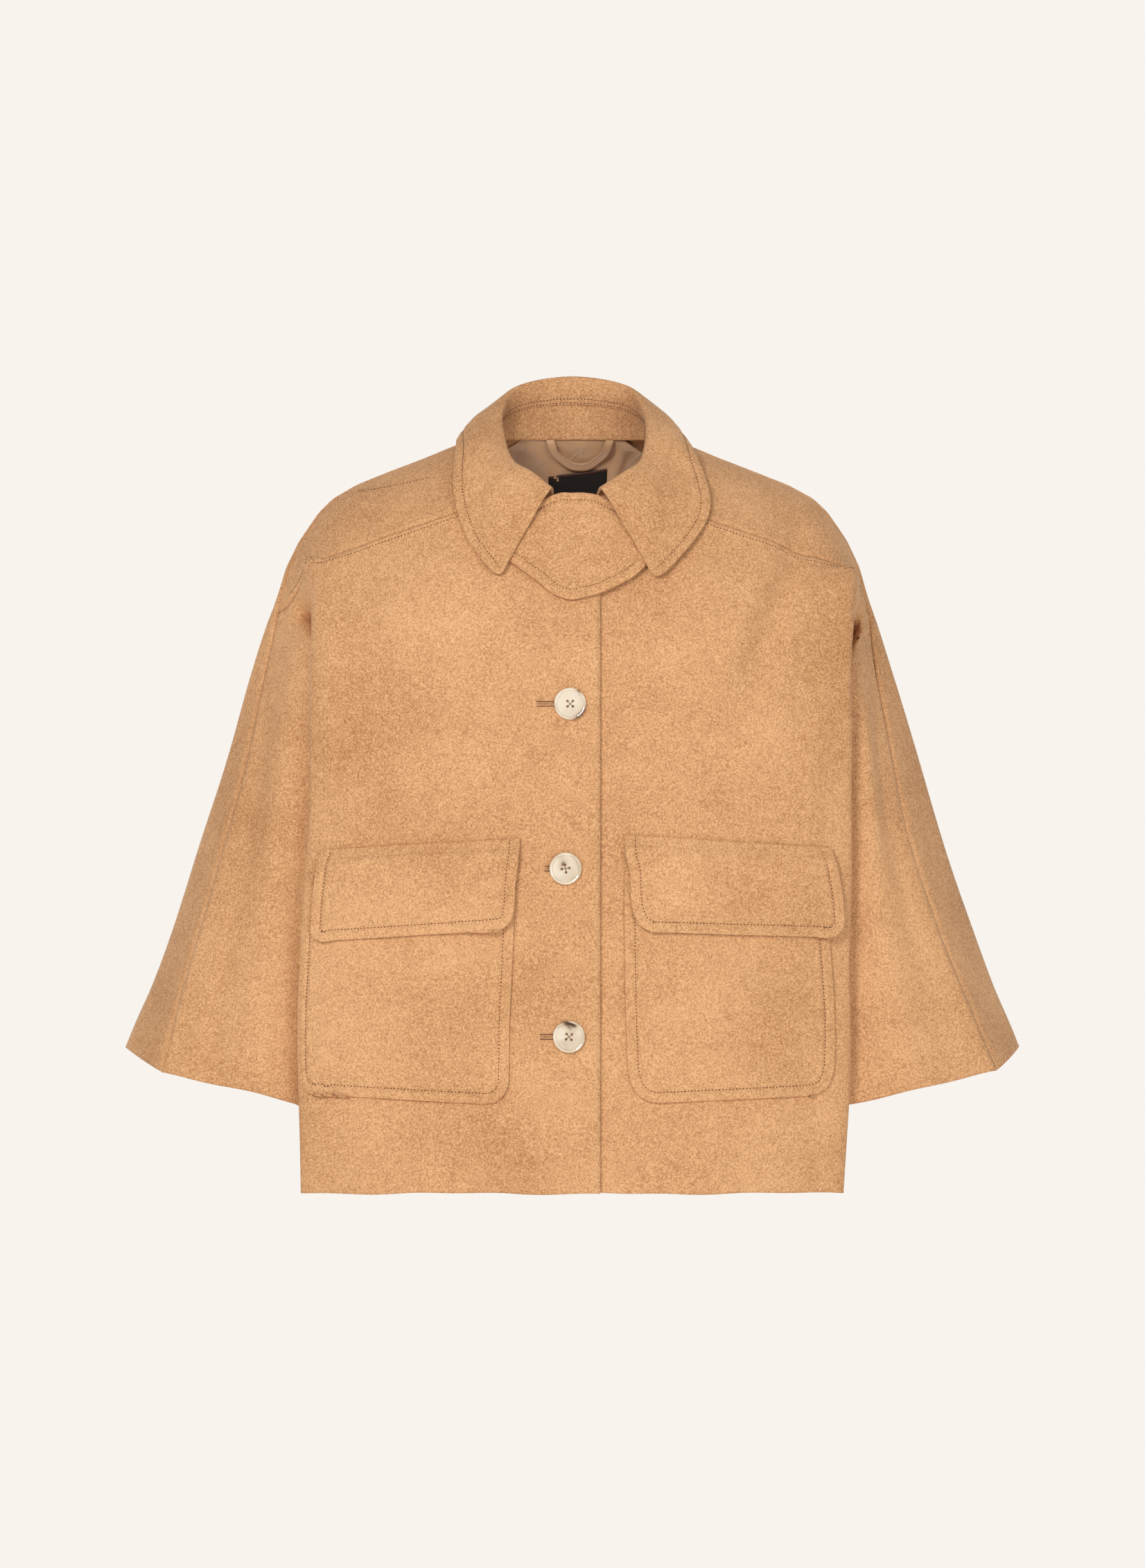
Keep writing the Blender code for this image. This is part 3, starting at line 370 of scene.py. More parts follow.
# Brushed wool: light and dark fibres a millimetre long, a softer mottling, and a low pile that catches the
# light at the edges. Each layer of fibres has a scale, a detail and a share.
FIBRES = ((640, 3, 0.5), (1700, 2, 0.34), (110, 3, 0.10), (8, 2, 0.16))
FELT = plain("camel felt", (0.38, 0.165, 0.062), 0.95)
nodes, links = FELT.node_tree.nodes, FELT.node_tree.links
shader = nodes["Principled BSDF"]
fibres = None
for scale, detail, weight in FIBRES:
    layer = nodes.new("ShaderNodeMath")
    layer.operation = "MULTIPLY_ADD"
    layer.inputs[1].default_value = weight
    layer.inputs[2].default_value = 0
    links.new(cloud(FELT, scale, detail, 0.65), layer.inputs[0])
    if fibres:
        links.new(fibres, layer.inputs[2])
    fibres = layer.outputs[0]
spread = nodes.new("ShaderNodeMapRange")
spread.inputs["From Min"].default_value = 0.43
spread.inputs["From Max"].default_value = 0.64
links.new(fibres, spread.inputs["Value"])
two_tone(FELT, (0.38, 0.165, 0.062), (0.81, 0.475, 0.245), spread.outputs["Result"])
bump = nodes.new("ShaderNodeBump")
bump.inputs["Strength"].default_value = 0.6
bump.inputs["Distance"].default_value = 0.0006
links.new(fibres, bump.inputs["Height"])
links.new(bump.outputs["Normal"], shader.inputs["Normal"])
shader.inputs["Specular IOR Level"].default_value = 0.15
shader.inputs["Sheen Weight"].default_value = 0.16
shader.inputs["Sheen Roughness"].default_value = 0.45
shader.inputs["Sheen Tint"].default_value = (1.0, 0.86, 0.68, 1)
# Dark brown thread, darker than the felt: partly the thread's own colour, partly painted shade of the pressed
# stitch grooves.
THREAD_AND_GROOVE_SHADE = plain("thread", (0.15, 0.062, 0.02), 0.6)


def cloth(name, points, faces, thickness, material=FELT, into=-1.0):
    """One piece of cloth: its outer surface as points and quads, given its thickness on the inner side."""
    mesh = bpy.data.meshes.new(name)
    mesh.from_pydata((points * MM).tolist(), [], faces.tolist())
    mesh.materials.append(material)
    mesh.shade_smooth()
    piece = bpy.data.objects.new(name, mesh)
    bpy.context.scene.collection.objects.link(piece)
    wall = piece.modifiers.new("wall", "SOLIDIFY")
    wall.thickness = thickness * MM
    wall.offset = into
    wall.use_even_offset = False
    return piece


def quads(index, flip):
    """The quads of a grid of point numbers."""
    faces = np.stack([index[:-1, :-1], index[1:, :-1], index[1:, 1:], index[:-1, 1:]], axis=-1).reshape(-1, 4)
    return faces if flip > 0 else faces[:, ::-1]


def settle(path, grid, normals):
    """Moves a path onto the finished surface, along the normal of the nearest point."""
    flat, normal = grid.reshape(-1, 3), normals.reshape(-1, 3)
    nearest, _ = near(path, flat)
    n = normal[nearest]
    return path + n * ((flat[nearest] - path) * n).sum(axis=1, keepdims=True), n


def sink(grid, normals, path, depth, width):
    """Presses a line of sewing into the cloth, with a soft swell on both sides of it."""
    _, away = near(grid, path)
    dip = np.exp(-(away / width) ** 2)
    swell = 0.45 * np.exp(-((away - 2.6 * width) / (1.6 * width)) ** 2)
    return grid + normals * (depth * (swell - dip))[..., None]


def sewing(name, paths, pitch=3.0, length=2.5, radius=0.5, material=THREAD_AND_GROOVE_SHADE):
    """Single stitches along settled paths, as one piece: each is a short spindle that dips in at both ends."""
    points, faces = [], []
    for path, normal in paths:
        at, way = evenly(path, pitch)
        n = normal[near(at, path)[0]]
        across = np.cross(way, n)
        at = at + n * 0.25
        ring = [at - way * length / 2 - n * 0.5, at + way * length / 2 - n * 0.5]
        ring += [at + across * radius, at + n * radius, at - across * radius, at - n * radius]
        start = sum(len(p) for p in points)
        points.append(np.stack(ring, axis=1).reshape(-1, 3))
        corner = [(0, 2, 3), (0, 3, 4), (0, 4, 5), (0, 5, 2), (1, 3, 2), (1, 4, 3), (1, 5, 4), (1, 2, 5)]
        faces.append((np.array(corner)[None] + 6 * np.arange(len(at))[:, None, None] + start).reshape(-1, 3))
    mesh = bpy.data.meshes.new(name)
    mesh.from_pydata((np.concatenate(points) * MM).tolist(), [], np.concatenate(faces).tolist())
    mesh.materials.append(material)
    mesh.shade_smooth()
    piece = bpy.data.objects.new(name, mesh)
    bpy.context.scene.collection.objects.link(piece)
    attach(piece, "root")


def soft(x, z):
    """Slow unevenness of hanging wool: the sum of four long waves, about half a millimetre."""
    return (0.35 * np.sin(x / 31 + z / 57) + 0.3 * np.sin(x / 47 - z / 39 + 1.3)
            + 0.25 * np.sin(z / 23 + x / 71 + 2.1) + 0.2 * np.sin(x / 17 + z / 83 + 0.4))


def trough(x, z, x0, z0, x1, z1, width, amount):
    """A soft fold from one place to another, seen from the front: it is deepest in its middle and fades out
    at both ends."""
    dx, dz = x1 - x0, z1 - z0
    size = math.hypot(dx, dz)
    along = ((x - x0) * dx + (z - z0) * dz) / size**2
    away = ((x - x0) * dz - (z - z0) * dx) / size
    return amount * np.exp(-(away / width) ** 2) * ease(along, -0.15, 0.35) * (1 - ease(along, 0.6, 1.15))


def declare(piece, nodes):
    """Hangs a piece of cloth on the root and hides the solids that it stands for."""
    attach(piece, "root")
    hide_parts(*nodes)


# The rings and columns that the panels are drawn with. A yoke ends at the ring YOKE_END and at the column EDGE.
RINGS = np.concatenate([np.linspace(0, 1, count(56))[:-1], np.linspace(1, 2, count(64))[:-1],
                        np.linspace(2, 3, count(116))])
BODY_AT = np.concatenate([np.linspace(0, 5, count(66))[:-1], np.linspace(5, 8, count(36))])
SLEEVE_AT = np.linspace(0, 5, count(54))
YOKE_END = count(56) - 1
EDGE = count(66) - 1
JOINED = RINGS < 2.0001


# Each soft fold of a front: where it starts and ends, x and z, its width, and how far it stands out.
FRONT_FOLDS = {
    -1: [(-190, -70, -160, -250, 20, -1.6), (-215, -110, -205, -320, 16, 1.7),
         (-60, -140, -110, -300, 24, -1.2), (-215, -430, -222, -640, 15, 1.5),
         (-120, -570, -100, -650, 30, 1.5), (-40, -560, -34, -650, 16, -1.2)],
    1: [(205, -60, 140, -235, 15, -3.4), (178, -75, 118, -225, 17, 2.0), (226, -120, 206, -330, 13, 1.6),
        (40, -150, 60, -330, 20, -1.0), (215, -430, 226, -640, 16, 1.5), (120, -575, 110, -650, 26, 1.4)],
}
# Each long fold of a sleeve: its column, its width and how far it stands out.
SLEEVE_FOLDS = ((1.2, 0.5, 2.6), (2.3, 0.42, -2.8), (3.2, 0.45, 2.4), (4.1, 0.4, -2.2))


def relief(side, x, z):
    """How far the hanging cloth of the front stands out or in, seen from the front: soft, with the folds that
    the photograph shows on the chest and those that run down from the shoulders."""
    out = soft(x, z)
    for fold in FRONT_FOLDS[side]:
        out = out + trough(x, z, *fold)
    return 1.8 * out * (1 - 0.9 * np.exp(-((x + 3) / 27) ** 4))


def sleeve_folds(side, front, v, u):
    """The long soft folds of a sleeve, by ring v and column u: each runs from the shoulder to the cuff."""
    turn = 1.0 if front else 1.7
    out = np.zeros(np.broadcast(v, u).shape)
    for place, width, amount in SLEEVE_FOLDS:
        centre = place + 0.25 * np.sin(v * turn * 1.7 + side) + 0.12 * side
        out = out + amount * np.exp(-((u - centre) / width) ** 2)
    return out * ease(v, 1.15, 2.4) * ease(u, 0, 0.8) * (1 - ease(u, 4.5, 5.0))


def hem_wave(side, x):
    """The small unevenness of a pressed hem: the sum of two waves."""
    return 0.7 * np.sin(x / 27 + side) + 0.45 * np.sin(x / 11.3 + 1)


def half(side, front, body_at=BODY_AT, sleeve_at=SLEEVE_AT):
    """One half, front or back, as the grids of its body and its sleeve, with their normals. Above the underarm
    they share the fold between them."""
    body, sleeve = half_rings(side, RINGS, front, body_at, sleeve_at)
    gap = np.where(JOINED[:, None], body[:, -1] - sleeve[:, 0], 0)
    sleeve = sleeve + gap[:, None] * (1 - ease(sleeve_at, 0, 0.9))[None, :, None]
    for grid in (body, sleeve):
        grid[..., 2] += hem_wave(side, grid[..., 0]) * ease(RINGS, 2.86, 3)[:, None]
    if not front:
        _, front_sleeve = half_rings(side, RINGS, True, body_at, sleeve_at)
        seam = front_sleeve[:, -1]
        seam[:, 2] += hem_wave(side, seam[:, 0]) * ease(RINGS, 2.86, 3)
        outer = sleeve[:, -1]
        t = np.linspace(0, 1, 8)[1:, None]
        strip = outer[:, None] + (seam - outer)[:, None] * t
        strip[..., 0] += side * 4.8 * (t * (1 - t))[None, :, 0]
        sleeve = np.concatenate([sleeve, strip], axis=1)
    flip = side if front else -side
    body_normal, sleeve_normal = grid_normals(body, flip), grid_normals(sleeve, flip)
    shared = unit(body_normal[JOINED, -1] + sleeve_normal[JOINED, 0])
    body_normal[JOINED, -1] = shared
    sleeve_normal[JOINED, 0] = shared
    if not front:
        centre = np.gradient(body[:, 0], axis=0)
        body_normal[:, 0] = unit(stack(0, -centre[:, 2], centre[:, 1]))
    return body, sleeve, body_normal, sleeve_normal


def panel(name, parts, flips, joins, keeps=None, thickness=WALL, material=FELT):
    """Several grids as one piece of cloth. Each join gives two columns of points that are the same, and keeps
    says which quads of each grid are in the piece."""
    sizes = [grid.shape[0] * grid.shape[1] for grid in parts]
    index = [np.arange(size).reshape(grid.shape[:2]) + sum(sizes[:i])
             for i, (size, grid) in enumerate(zip(sizes, parts))]
    for a, column_a, b, column_b, which in joins:
        index[b][which, column_b] = index[a][which, column_a]
    faces = [quads(number, flip) for number, flip in zip(index, flips)]
    if keeps:
        faces = [every[keep.ravel()] for every, keep in zip(faces, keeps)]
    faces = np.concatenate(faces)
    used, renumbered = np.unique(faces, return_inverse=True)
    points = np.concatenate([grid.reshape(-1, 3) for grid in parts])[used]
    return cloth(name, points, renumbered.reshape(faces.shape), thickness, material)


def inset(line, normal, distance):
    """A line moved sideways within the surface."""
    return line + unit(np.cross(normal, unit(np.gradient(line, axis=0)))) * distance


def beside(line, normal, distance):
    """The path of a line of sewing beside an edge or a seam."""
    return evenly(inset(line, normal, distance), PATH_PITCH)[0]


# Fronts and yokes, one side at a time.
over = RINGS[:, None]
for word, side in (("right", -1), ("left", 1)):
    body, sleeve, body_normal, sleeve_normal = half(side, True)
    body = body + body_normal * relief(side, body[..., 0], body[..., 2])[..., None]
    folds = sleeve_folds(side, True, over, SLEEVE_AT[None]) + relief(side, sleeve[..., 0], sleeve[..., 2])
    sleeve = sleeve + sleeve_normal * folds[..., None]
    forward_seam = body[:YOKE_END + 1, EDGE]
    yoke_foot = np.concatenate([body[YOKE_END, EDGE:], sleeve[YOKE_END, 1:]])
    overarm = sleeve[:, -1]
    for line in (forward_seam, yoke_foot):
        body = sink(body, body_normal, line, SEWN, 1.6)
        sleeve = sink(sleeve, sleeve_normal, line, SEWN, 1.6)
    sleeve = sink(sleeve, sleeve_normal, overarm, 1.0, 1.8)
    low = np.zeros((len(RINGS) - 1, len(BODY_AT) - 1), bool)
    low[YOKE_END:] = True
    low[:, :EDGE] = True
    low_sleeve = np.zeros((len(RINGS) - 1, len(SLEEVE_AT) - 1), bool)
    low_sleeve[YOKE_END:] = True
    join = [(0, -1, 1, 0, JOINED)]
    front = panel(f"front_{word}_cloth", [body, sleeve], [side, side], join, [low, low_sleeve])
    declare(front, [f"front_{word}"])
    yoke = panel(f"yoke_{word}_cloth", [body, sleeve], [side, side], join, [~low, ~low_sleeve])
    declare(yoke, [f"yoke_{word}"])

    lines = [beside(forward_seam, body_normal[:YOKE_END + 1, EDGE], -5 * side),
             beside(body[YOKE_END, EDGE:], body_normal[YOKE_END, EDGE:], 5 * side)]
    if side < 0:
        x = np.linspace(-126, -186, 30)
        z = smooth([-186, -160, -126], [-34, -28, -21], x)
        lines.append(stack(x, front_at(x, z), z))
    sewing(f"yoke_{word}_stitches", [settle(line, body, body_normal) for line in lines])

# The back, cut in one with the back halves of both sleeves. It wraps round the outer edge of each sleeve to the
# overarm seam.
BACK_BODY_AT = np.concatenate([np.linspace(0, 5, count(40))[:-1], np.linspace(5, 8, count(22))])
BACK_SLEEVE_AT = np.linspace(0, 5, count(34))
BACK_EDGE = count(40) - 1
# Each soft fold of the back, on both sides: where it starts and ends, its width, and how far it stands out.
BACK_FOLDS = [(150, -60, 120, -420, 22, 2.4), (95, -110, 85, -600, 26, -2.6), (190, -90, 165, -330, 18, -2.2),
              (45, -260, 52, -650, 24, 2.2)]
grids = []
for side in (-1, 1):
    body, sleeve, body_normal, sleeve_normal = half(side, False, BACK_BODY_AT, BACK_SLEEVE_AT)
    x, z = body[..., 0], body[..., 2]
    out = soft(x * 0.9, z * 0.8)
    for fold in BACK_FOLDS:
        out = out + trough(side * x, z, *fold)
    out = 1.6 * out * ease(np.abs(x), 0, 12)
    body = body + body_normal * out[..., None]
    columns = np.concatenate([BACK_SLEEVE_AT, np.full(sleeve.shape[1] - len(BACK_SLEEVE_AT), 5.0)])[None]
    past_fold = ease(columns, 0, 0.8)
    folds = sleeve_folds(side, False, over, columns) + soft(sleeve[..., 0], sleeve[..., 2]) * past_fold
    sleeve = sleeve + sleeve_normal * (folds + out[:, -1:] * (1 - past_fold))[..., None]
    sleeve = sink(sleeve, sleeve_normal, sleeve[:, -1], 1.0, 1.8)
    grids += [body, sleeve]
joins = [(0, 0, 2, 0, slice(None)), (0, -1, 1, 0, JOINED), (2, -1, 3, 0, JOINED)]
back = panel("back_cloth", grids, [1, 1, -1, -1], joins)
declare(back, ["back"])

# The collar: stand and fall are felt, joined by a seam inside the roll. The fall is topstitched along its outer
# edge. Its two leaves lie over the throat tab.
COLLAR = [
    # roll x, y, z      edge x, y, z       bulge
    (-18, -88, -34, -64, -112, -113, 3),
    (-36, -80, -20, -90, -92, -78, 3),
    (-52, -64, -10, -102, -77, -40, 4),
    (-60, -34, 12, -100, -42, -3, 6),
    (-61, 0, 36, -95, 8, 10, 7.5),
    (-46, 32, 55, -74, 58, -2, 8),
    (0, 48, 63, 0, 80, -4, 8),
    (46, 32, 55, 76, 58, -2, 8),
    (62, 0, 36, 95, 8, 10, 7),
    (65, -34, 14, 107, -42, -5, 6),
    (60, -62, -9, 119, -66, -45, 4),
    (44, -80, -21, 108, -90, -75, 3),
    (24, -88, -34, 73, -113, -115, 3),
]
NECK_CENTRE_Y = -20
NECK_POINTS = 24
COLLAR_WALL = 2.6       # two layers of cloth
STAND_WALL = 1.6
STAND_RAISE = 2.2       # the stand starts this far above the neck seam
STAND_SHARE = 0.35      # the seam between stand and fall, down from the roll
# How far the throat tab under the leaves stands off the fronts, by height.
TAB_Z = [-130, -80, -60, -46, -38]
TAB_OFF = [3.2, 3.7, 4.5, 6.0, 9.6]
LEAF_OVER_TAB = 3.4
LEAF_OVER_FRONT = 4.6


def neckline():
    """The cloth's edge all round the neck, at even angles about the neck's centre."""
    points = []
    for side in (-1, 1):
        for front in (True, False):
            body, sleeve, body_normal, sleeve_normal = half(side, front)
            for grid, normal in ((body, body_normal), (sleeve, sleeve_normal)):
                edge = grid[0] - normal[0] * WALL / 2
                points.append(edge[side * edge[:, 0] > 0])
    points = np.concatenate(points)
    angle = np.arctan2(points[:, 1] - NECK_CENTRE_Y, points[:, 0])
    order = np.argsort(angle)
    even = np.linspace(-np.pi, np.pi, NECK_POINTS + 1)[:-1]
    edge = [np.interp(even, angle[order], points[order, k], period=2 * np.pi) for k in range(3)]
    return even, np.stack(edge, axis=1)


def collar_grid(along, across):
    """The middle of the collar's cloth, from the neck seam (0) over the stand seam (2) and the roll (4) to the
    outer edge (8), from the right leaf (0) round the back (6) to the left leaf (12). The leaves' tips are
    round."""
    table = np.array(COLLAR, float)
    lines = np.stack([smooth(np.arange(len(table)), column, along) for column in table.T], axis=1)
    roll, edge, bulge = lines[:, :3], lines[:, 3:6], lines[:, 6:]
    end = np.clip(1 - np.minimum(along, 12 - along) / 0.3, 0, 1)
    edge = edge + (roll - edge) * (0.1 * (1 - np.sqrt(1 - end**2)))[:, None]
    angle, neck = neckline()
    at = np.arctan2(roll[:, 1] - NECK_CENTRE_Y, roll[:, 0])
    seat = np.stack([np.interp(at, angle, neck[:, k], period=2 * np.pi) for k in range(3)], axis=1)
    rise = unit(roll - seat)
    fall = unit(edge - roll)
    out = unit(np.cross(np.gradient(roll, axis=0), edge - roll))
    start = seat + rise * STAND_RAISE
    height = np.linalg.norm(roll - start, axis=1, keepdims=True)
    inside = roll - rise * np.minimum(8, 0.4 * height) - out * np.minimum(3, 0.3 * height)
    outside = roll + fall * 8 + out * 4
    seam = inside + (start - inside) * STAND_SHARE
    middle = roll + (edge - roll) * 0.5 + out * bulge
    lower = roll + (edge - roll) * 0.8 + out * bulge * 0.55
    section = [start, (start + seam) / 2, seam, inside, roll, outside, middle, lower, edge]
    grid = through(np.stack(section, axis=1), across)
    x, y, z = grid[..., 0], grid[..., 1], grid[..., 2]
    over_tab = smooth(TAB_Z, TAB_OFF, z) + LEAF_OVER_TAB
    clear = LEAF_OVER_FRONT + (over_tab - LEAF_OVER_FRONT) * (1 - ease(np.abs(x), 70, 86))
    lowest = np.minimum(y, front_at(x, z) - clear)
    grid[..., 1] = y + (lowest - y) * (1 - ease(z, -30, -18)) * (np.asarray(across) > 4.4)
    return grid


def grid_cloth(name, grid, thickness, flip=1, into=0.0, material=FELT):
    """A grid of points as one piece of cloth. Its wall lies on both sides of them, or on the inner one."""
    index = np.arange(grid.shape[0] * grid.shape[1]).reshape(grid.shape[:2])
    return cloth(name, grid.reshape(-1, 3), quads(index, flip), thickness, material, into)


round_neck = np.concatenate([np.linspace(0, 0.3, count(24))[:-1], np.linspace(0.3, 11.7, count(200))[:-1],
                             np.linspace(11.7, 12, count(24))])
up_stand = np.linspace(0, 2, count(20))
stand = collar_grid(round_neck, up_stand)
foot = (1 - ease(up_stand, 0, 0.9))[None, :, None]
inwards = np.array([0.0, NECK_CENTRE_Y, 0.0]) - stand
inwards[..., 2] = 0
stand = stand + (unit(inwards) * 1.9 + np.array([0, 0, -4.5])) * foot
stand_normal = grid_normals(stand, 1)
stand = stand + stand_normal * (0.5 * np.sin(stand[..., 0] / 13 + stand[..., 2] / 9))[..., None]
piece = grid_cloth("collar_stand_cloth", stand, STAND_WALL)
declare(piece, ["collar_stand"])

# The normals of the fall point towards the neck on its inner side and outwards on the outer one.
over_fall = np.linspace(2, 8, count(84))
fall = collar_grid(round_neck, over_fall)
fall_normal = grid_normals(fall, 1)
wave = 0.7 * np.sin(fall[..., 0] / 19 + fall[..., 2] / 27) + 0.5 * np.sin(fall[..., 0] / 9 - fall[..., 2] / 31)
fall = fall + fall_normal * (wave * ease(over_fall, 4.5, 6))[..., None]
outer_line = evenly(inset(fall[:, -1], fall_normal[:, -1], -8)[6:-6], PATH_PITCH)[0]
fall = sink(fall, fall_normal, outer_line, SEWN, 1.4)
piece = grid_cloth("collar_fall_cloth", fall, COLLAR_WALL)
declare(piece, ["collar_fall"])
surface = fall + fall_normal * COLLAR_WALL / 2
lines = [outer_line, beside(fall[:, 0], fall_normal[:, 0], 1.8), beside(fall[:, 0], fall_normal[:, 0], 5.4)]
sewing("collar_stitches", [settle(line, surface, fall_normal) for line in lines])

# The throat tab, two layers of felt, sewn in under the leaves. It is topstitched along its upper and its lower
# edge, whose heights are given from its right end to its left.
TAB_X = [-58, -50, -40, -28, -17, -10, -1, 10, 22, 34, 44, 54, 63]
TAB_TOP = [-62, -56, -50, -45, -40, -38, -38, -38, -40, -46, -51, -57, -64]
TAB_BOTTOM = [-94, -100, -107, -116, -125, -128, -130, -128, -125, -120, -115, -109, -101]
TAB_WALL = 2.2
across = np.linspace(TAB_X[0], TAB_X[-1], count(90))
top = smooth(TAB_X, TAB_TOP, across)
z = top + (smooth(TAB_X, TAB_BOTTOM, across) - top) * np.linspace(0, 1, count(60))[:, None]
x = across + 0 * z
tab = stack(x, front_at(x, z) - smooth(TAB_Z, TAB_OFF, z) + 0.35 * np.sin(x / 14 + z / 19), z)
tab_normal = grid_normals(tab, 1)
lines = [beside(tab[0], tab_normal[0], -6), beside(tab[-1], tab_normal[-1], 9)]
for line in lines:
    tab = sink(tab, tab_normal, line, SEWN, 1.4)
piece = grid_cloth("throat_tab_cloth", tab, TAB_WALL)
declare(piece, ["throat_tab"])
surface = tab + tab_normal * TAB_WALL / 2
sewing("throat_tab_stitches", [settle(line, surface, tab_normal) for line in lines])

# The patch pockets, topstitched on the fronts, and their flaps, whose lower corners lift. Both are felt.
# Each patch pocket and flap, row by row: height at the inner and at the outer edge, x of the inner edge, and
# how far the outer edge passes the body edge, along the cloth.
POCKET = {
    -1: [(-356, -366, 50, -7), (-408, -412, 50.4, -6), (-450, -450, 52, -5), (-500, -498, 54.3, -5),
         (-535, -530, 54.7, -5), (-549, -543, 55.5, -6), (-558, -551, 60, -9), (-563, -555, 66, -14),
         (-565, -557, 74, -24)],
    1: [(-355, -363, 45, -25), (-422, -422, 45, -24.5), (-488, -488, 46.2, -20.5), (-520, -520, 47.3, -20.5),
        (-536, -536, 48.2, -21), (-550, -546, 52, -23.5), (-558, -552, 58, -28), (-562, -555.5, 64, -34),
        (-564, -558, 73, -42)],
}
FLAP = {
    -1: [(-336, -346, 45, -20), (-345, -354, 45.6, -19.5), (-352, -361, 46.2, -19), (-376, -386, 49, -17.5),
         (-397, -407, 50.3, -17), (-407, -417, 52.8, -17.5), (-413, -422, 59, -21), (-415.5, -425, 68, -28)],
    1: [(-333, -344.5, 45.3, -24), (-341, -352, 45.5, -22.5), (-348, -359, 46, -20.5),
        (-366, -378, 49.8, -16.5), (-390, -400, 51, -14), (-403, -412, 54, -14.5),
        (-411, -418, 58.5, -18.5), (-417, -421.5, 68, -25.5)],
}
PATCH_COLUMNS = [0, 0.04, 0.1, 0.22, 0.34, 0.46, 0.58, 0.68, 0.78, 0.86, 0.91, 0.94, 0.97, 1]
PATCH_WALL = 2.0
FLAP_GAP = 4.1          # over the pocket
FLAP_CORNER = {-1: (5.0, 1.5), 1: (2.5, 3.5)}    # lift of the inner and the outer lower corner
UNDERARM_Z = -256       # ring 2 of the front lies here, and the hem SKIRT below it
SKIRT = 386


def front_patch(side, table):
    """The points of the front's outer surface under a patch: they are looked up at their height and at their
    distance along the cloth, so a patch that reaches the body edge bends round it with the front."""
    table = np.array(table, float)
    shares = np.array(PATCH_COLUMNS)
    z = (table[:, :1] + (table[:, 1:2] - table[:, :1]) * shares).ravel()
    inner = np.repeat(table[:, 2], len(shares))
    past = np.repeat(table[:, 3], len(shares))
    share = np.tile(shares, len(table))
    v = 2 + (UNDERARM_Z - z) / SKIRT
    for _ in range(3):
        line = half_rings(side, v, True, np.linspace(0, 7, 71), SLEEVE_AT)[0]
        line[..., 0] *= side
        length = np.linalg.norm(np.diff(line, axis=1), axis=2).cumsum(axis=1)
        length = np.concatenate([np.zeros((len(v), 1)), length], axis=1)
        start = np.array([np.interp(inner[i], line[i, :50, 0], length[i, :50]) for i in range(len(v))])
        at = start + (length[:, 50] + past - start) * share
        point = np.array([[np.interp(at[i], length[i], line[i, :, k]) for k in range(3)]
                          for i in range(len(v))])
        v = v + (point[:, 2] - z) / SKIRT
    point[:, 0] *= side
    return point.reshape(len(table), len(shares), 3)


def finer(grid, rows, columns):
    """The same patch at a finer pitch, through the same points."""
    more = through(grid.transpose(1, 0, 2), np.linspace(0, grid.shape[0] - 1, rows)).transpose(1, 0, 2)
    return through(more, np.linspace(0, grid.shape[1] - 1, columns))


def rim(grid):
    """The free edge of a patch: down its inner side, along its foot and up its outer side."""
    return np.concatenate([grid[:, 0], grid[-1, 1:], grid[-2::-1, -1]])


for word, side in (("right", -1), ("left", 1)):
    pocket = finer(front_patch(side, POCKET[side]), count(130), count(130))
    normal = grid_normals(pocket, side)
    _, edge_away = near(pocket, evenly(rim(pocket), 2)[0])
    x, z = pocket[..., 0], pocket[..., 2]
    lift = 0.5 + PATCH_WALL + 1.1 * ease(edge_away, 4, 45) + relief(side, x, z) + 0.35 * np.sin(x / 16 + z / 12)
    pocket = pocket + normal * lift[..., None]
    line = beside(rim(pocket), rim(normal), 9 * side)
    pocket = sink(pocket, normal, line, SEWN, 1.4)
    piece = grid_cloth(f"pocket_{word}_cloth", pocket, PATCH_WALL, side, -1.0)
    declare(piece, [f"pocket_{word}"])
    pocket_path = settle(line, pocket, normal)

    flap = finer(front_patch(side, FLAP[side]), count(84), count(130))
    normal = grid_normals(flap, side)
    down = np.linspace(0, 1, flap.shape[0])[:, None]
    across = np.linspace(0, 1, flap.shape[1])
    inner_lift, outer_lift = FLAP_CORNER[side]
    lift = 0.5 + (FLAP_GAP + 0.4) * ease(down, 0, 0.3)
    corners = inner_lift * (1 - ease(across, 0, 0.35)) + outer_lift * ease(across, 0.65, 1)
    lift = lift + ease(down, 0.3, 1) * corners
    lift = lift + WALL + relief(side, flap[..., 0], flap[..., 2]) + 0.5 * np.sin(flap[..., 0] / 21 + 1) * down
    flap = flap + normal * lift[..., None]
    lines = [beside(rim(flap), rim(normal), 9 * side), beside(flap[0], normal[0], -9 * side)]
    for line in lines:
        flap = sink(flap, normal, line, SEWN, 1.4)
    piece = grid_cloth(f"pocket_flap_{word}_cloth", flap, WALL, side, -1.0)
    declare(piece, [f"pocket_flap_{word}"])
    sewing(f"pocket_{word}_stitches", [pocket_path] + [settle(line, flap, normal) for line in lines])

# The three buttons keep their solids and get the polished cream and brown look of horn, and a crossed thread.
# Beside each lies a worked buttonhole: its slit is a row of near-black spindles, painted shade, between two
# rows of stitches.
HORN_TONES = ((0.33, (0.09, 0.035, 0.014)), (0.39, (0.62, 0.50, 0.36)), (0.55, (0.80, 0.71, 0.58)))
HORN = plain("horn", HORN_TONES[2][1], 0.12)
nodes, links = HORN.node_tree.nodes, HORN.node_tree.links
ramp = nodes.new("ShaderNodeValToRGB")
ramp.color_ramp.elements.new(0.5)
for element, (place, tone) in zip(ramp.color_ramp.elements, HORN_TONES):
    element.position = place
    element.color = (*tone, 1)
links.new(cloud(HORN, 48, 1.5, distortion=0.5), ramp.inputs["Fac"])
links.new(ramp.outputs["Color"], nodes["Principled BSDF"].inputs["Base Color"])
nodes["Principled BSDF"].inputs["Coat Weight"].default_value = 0.6
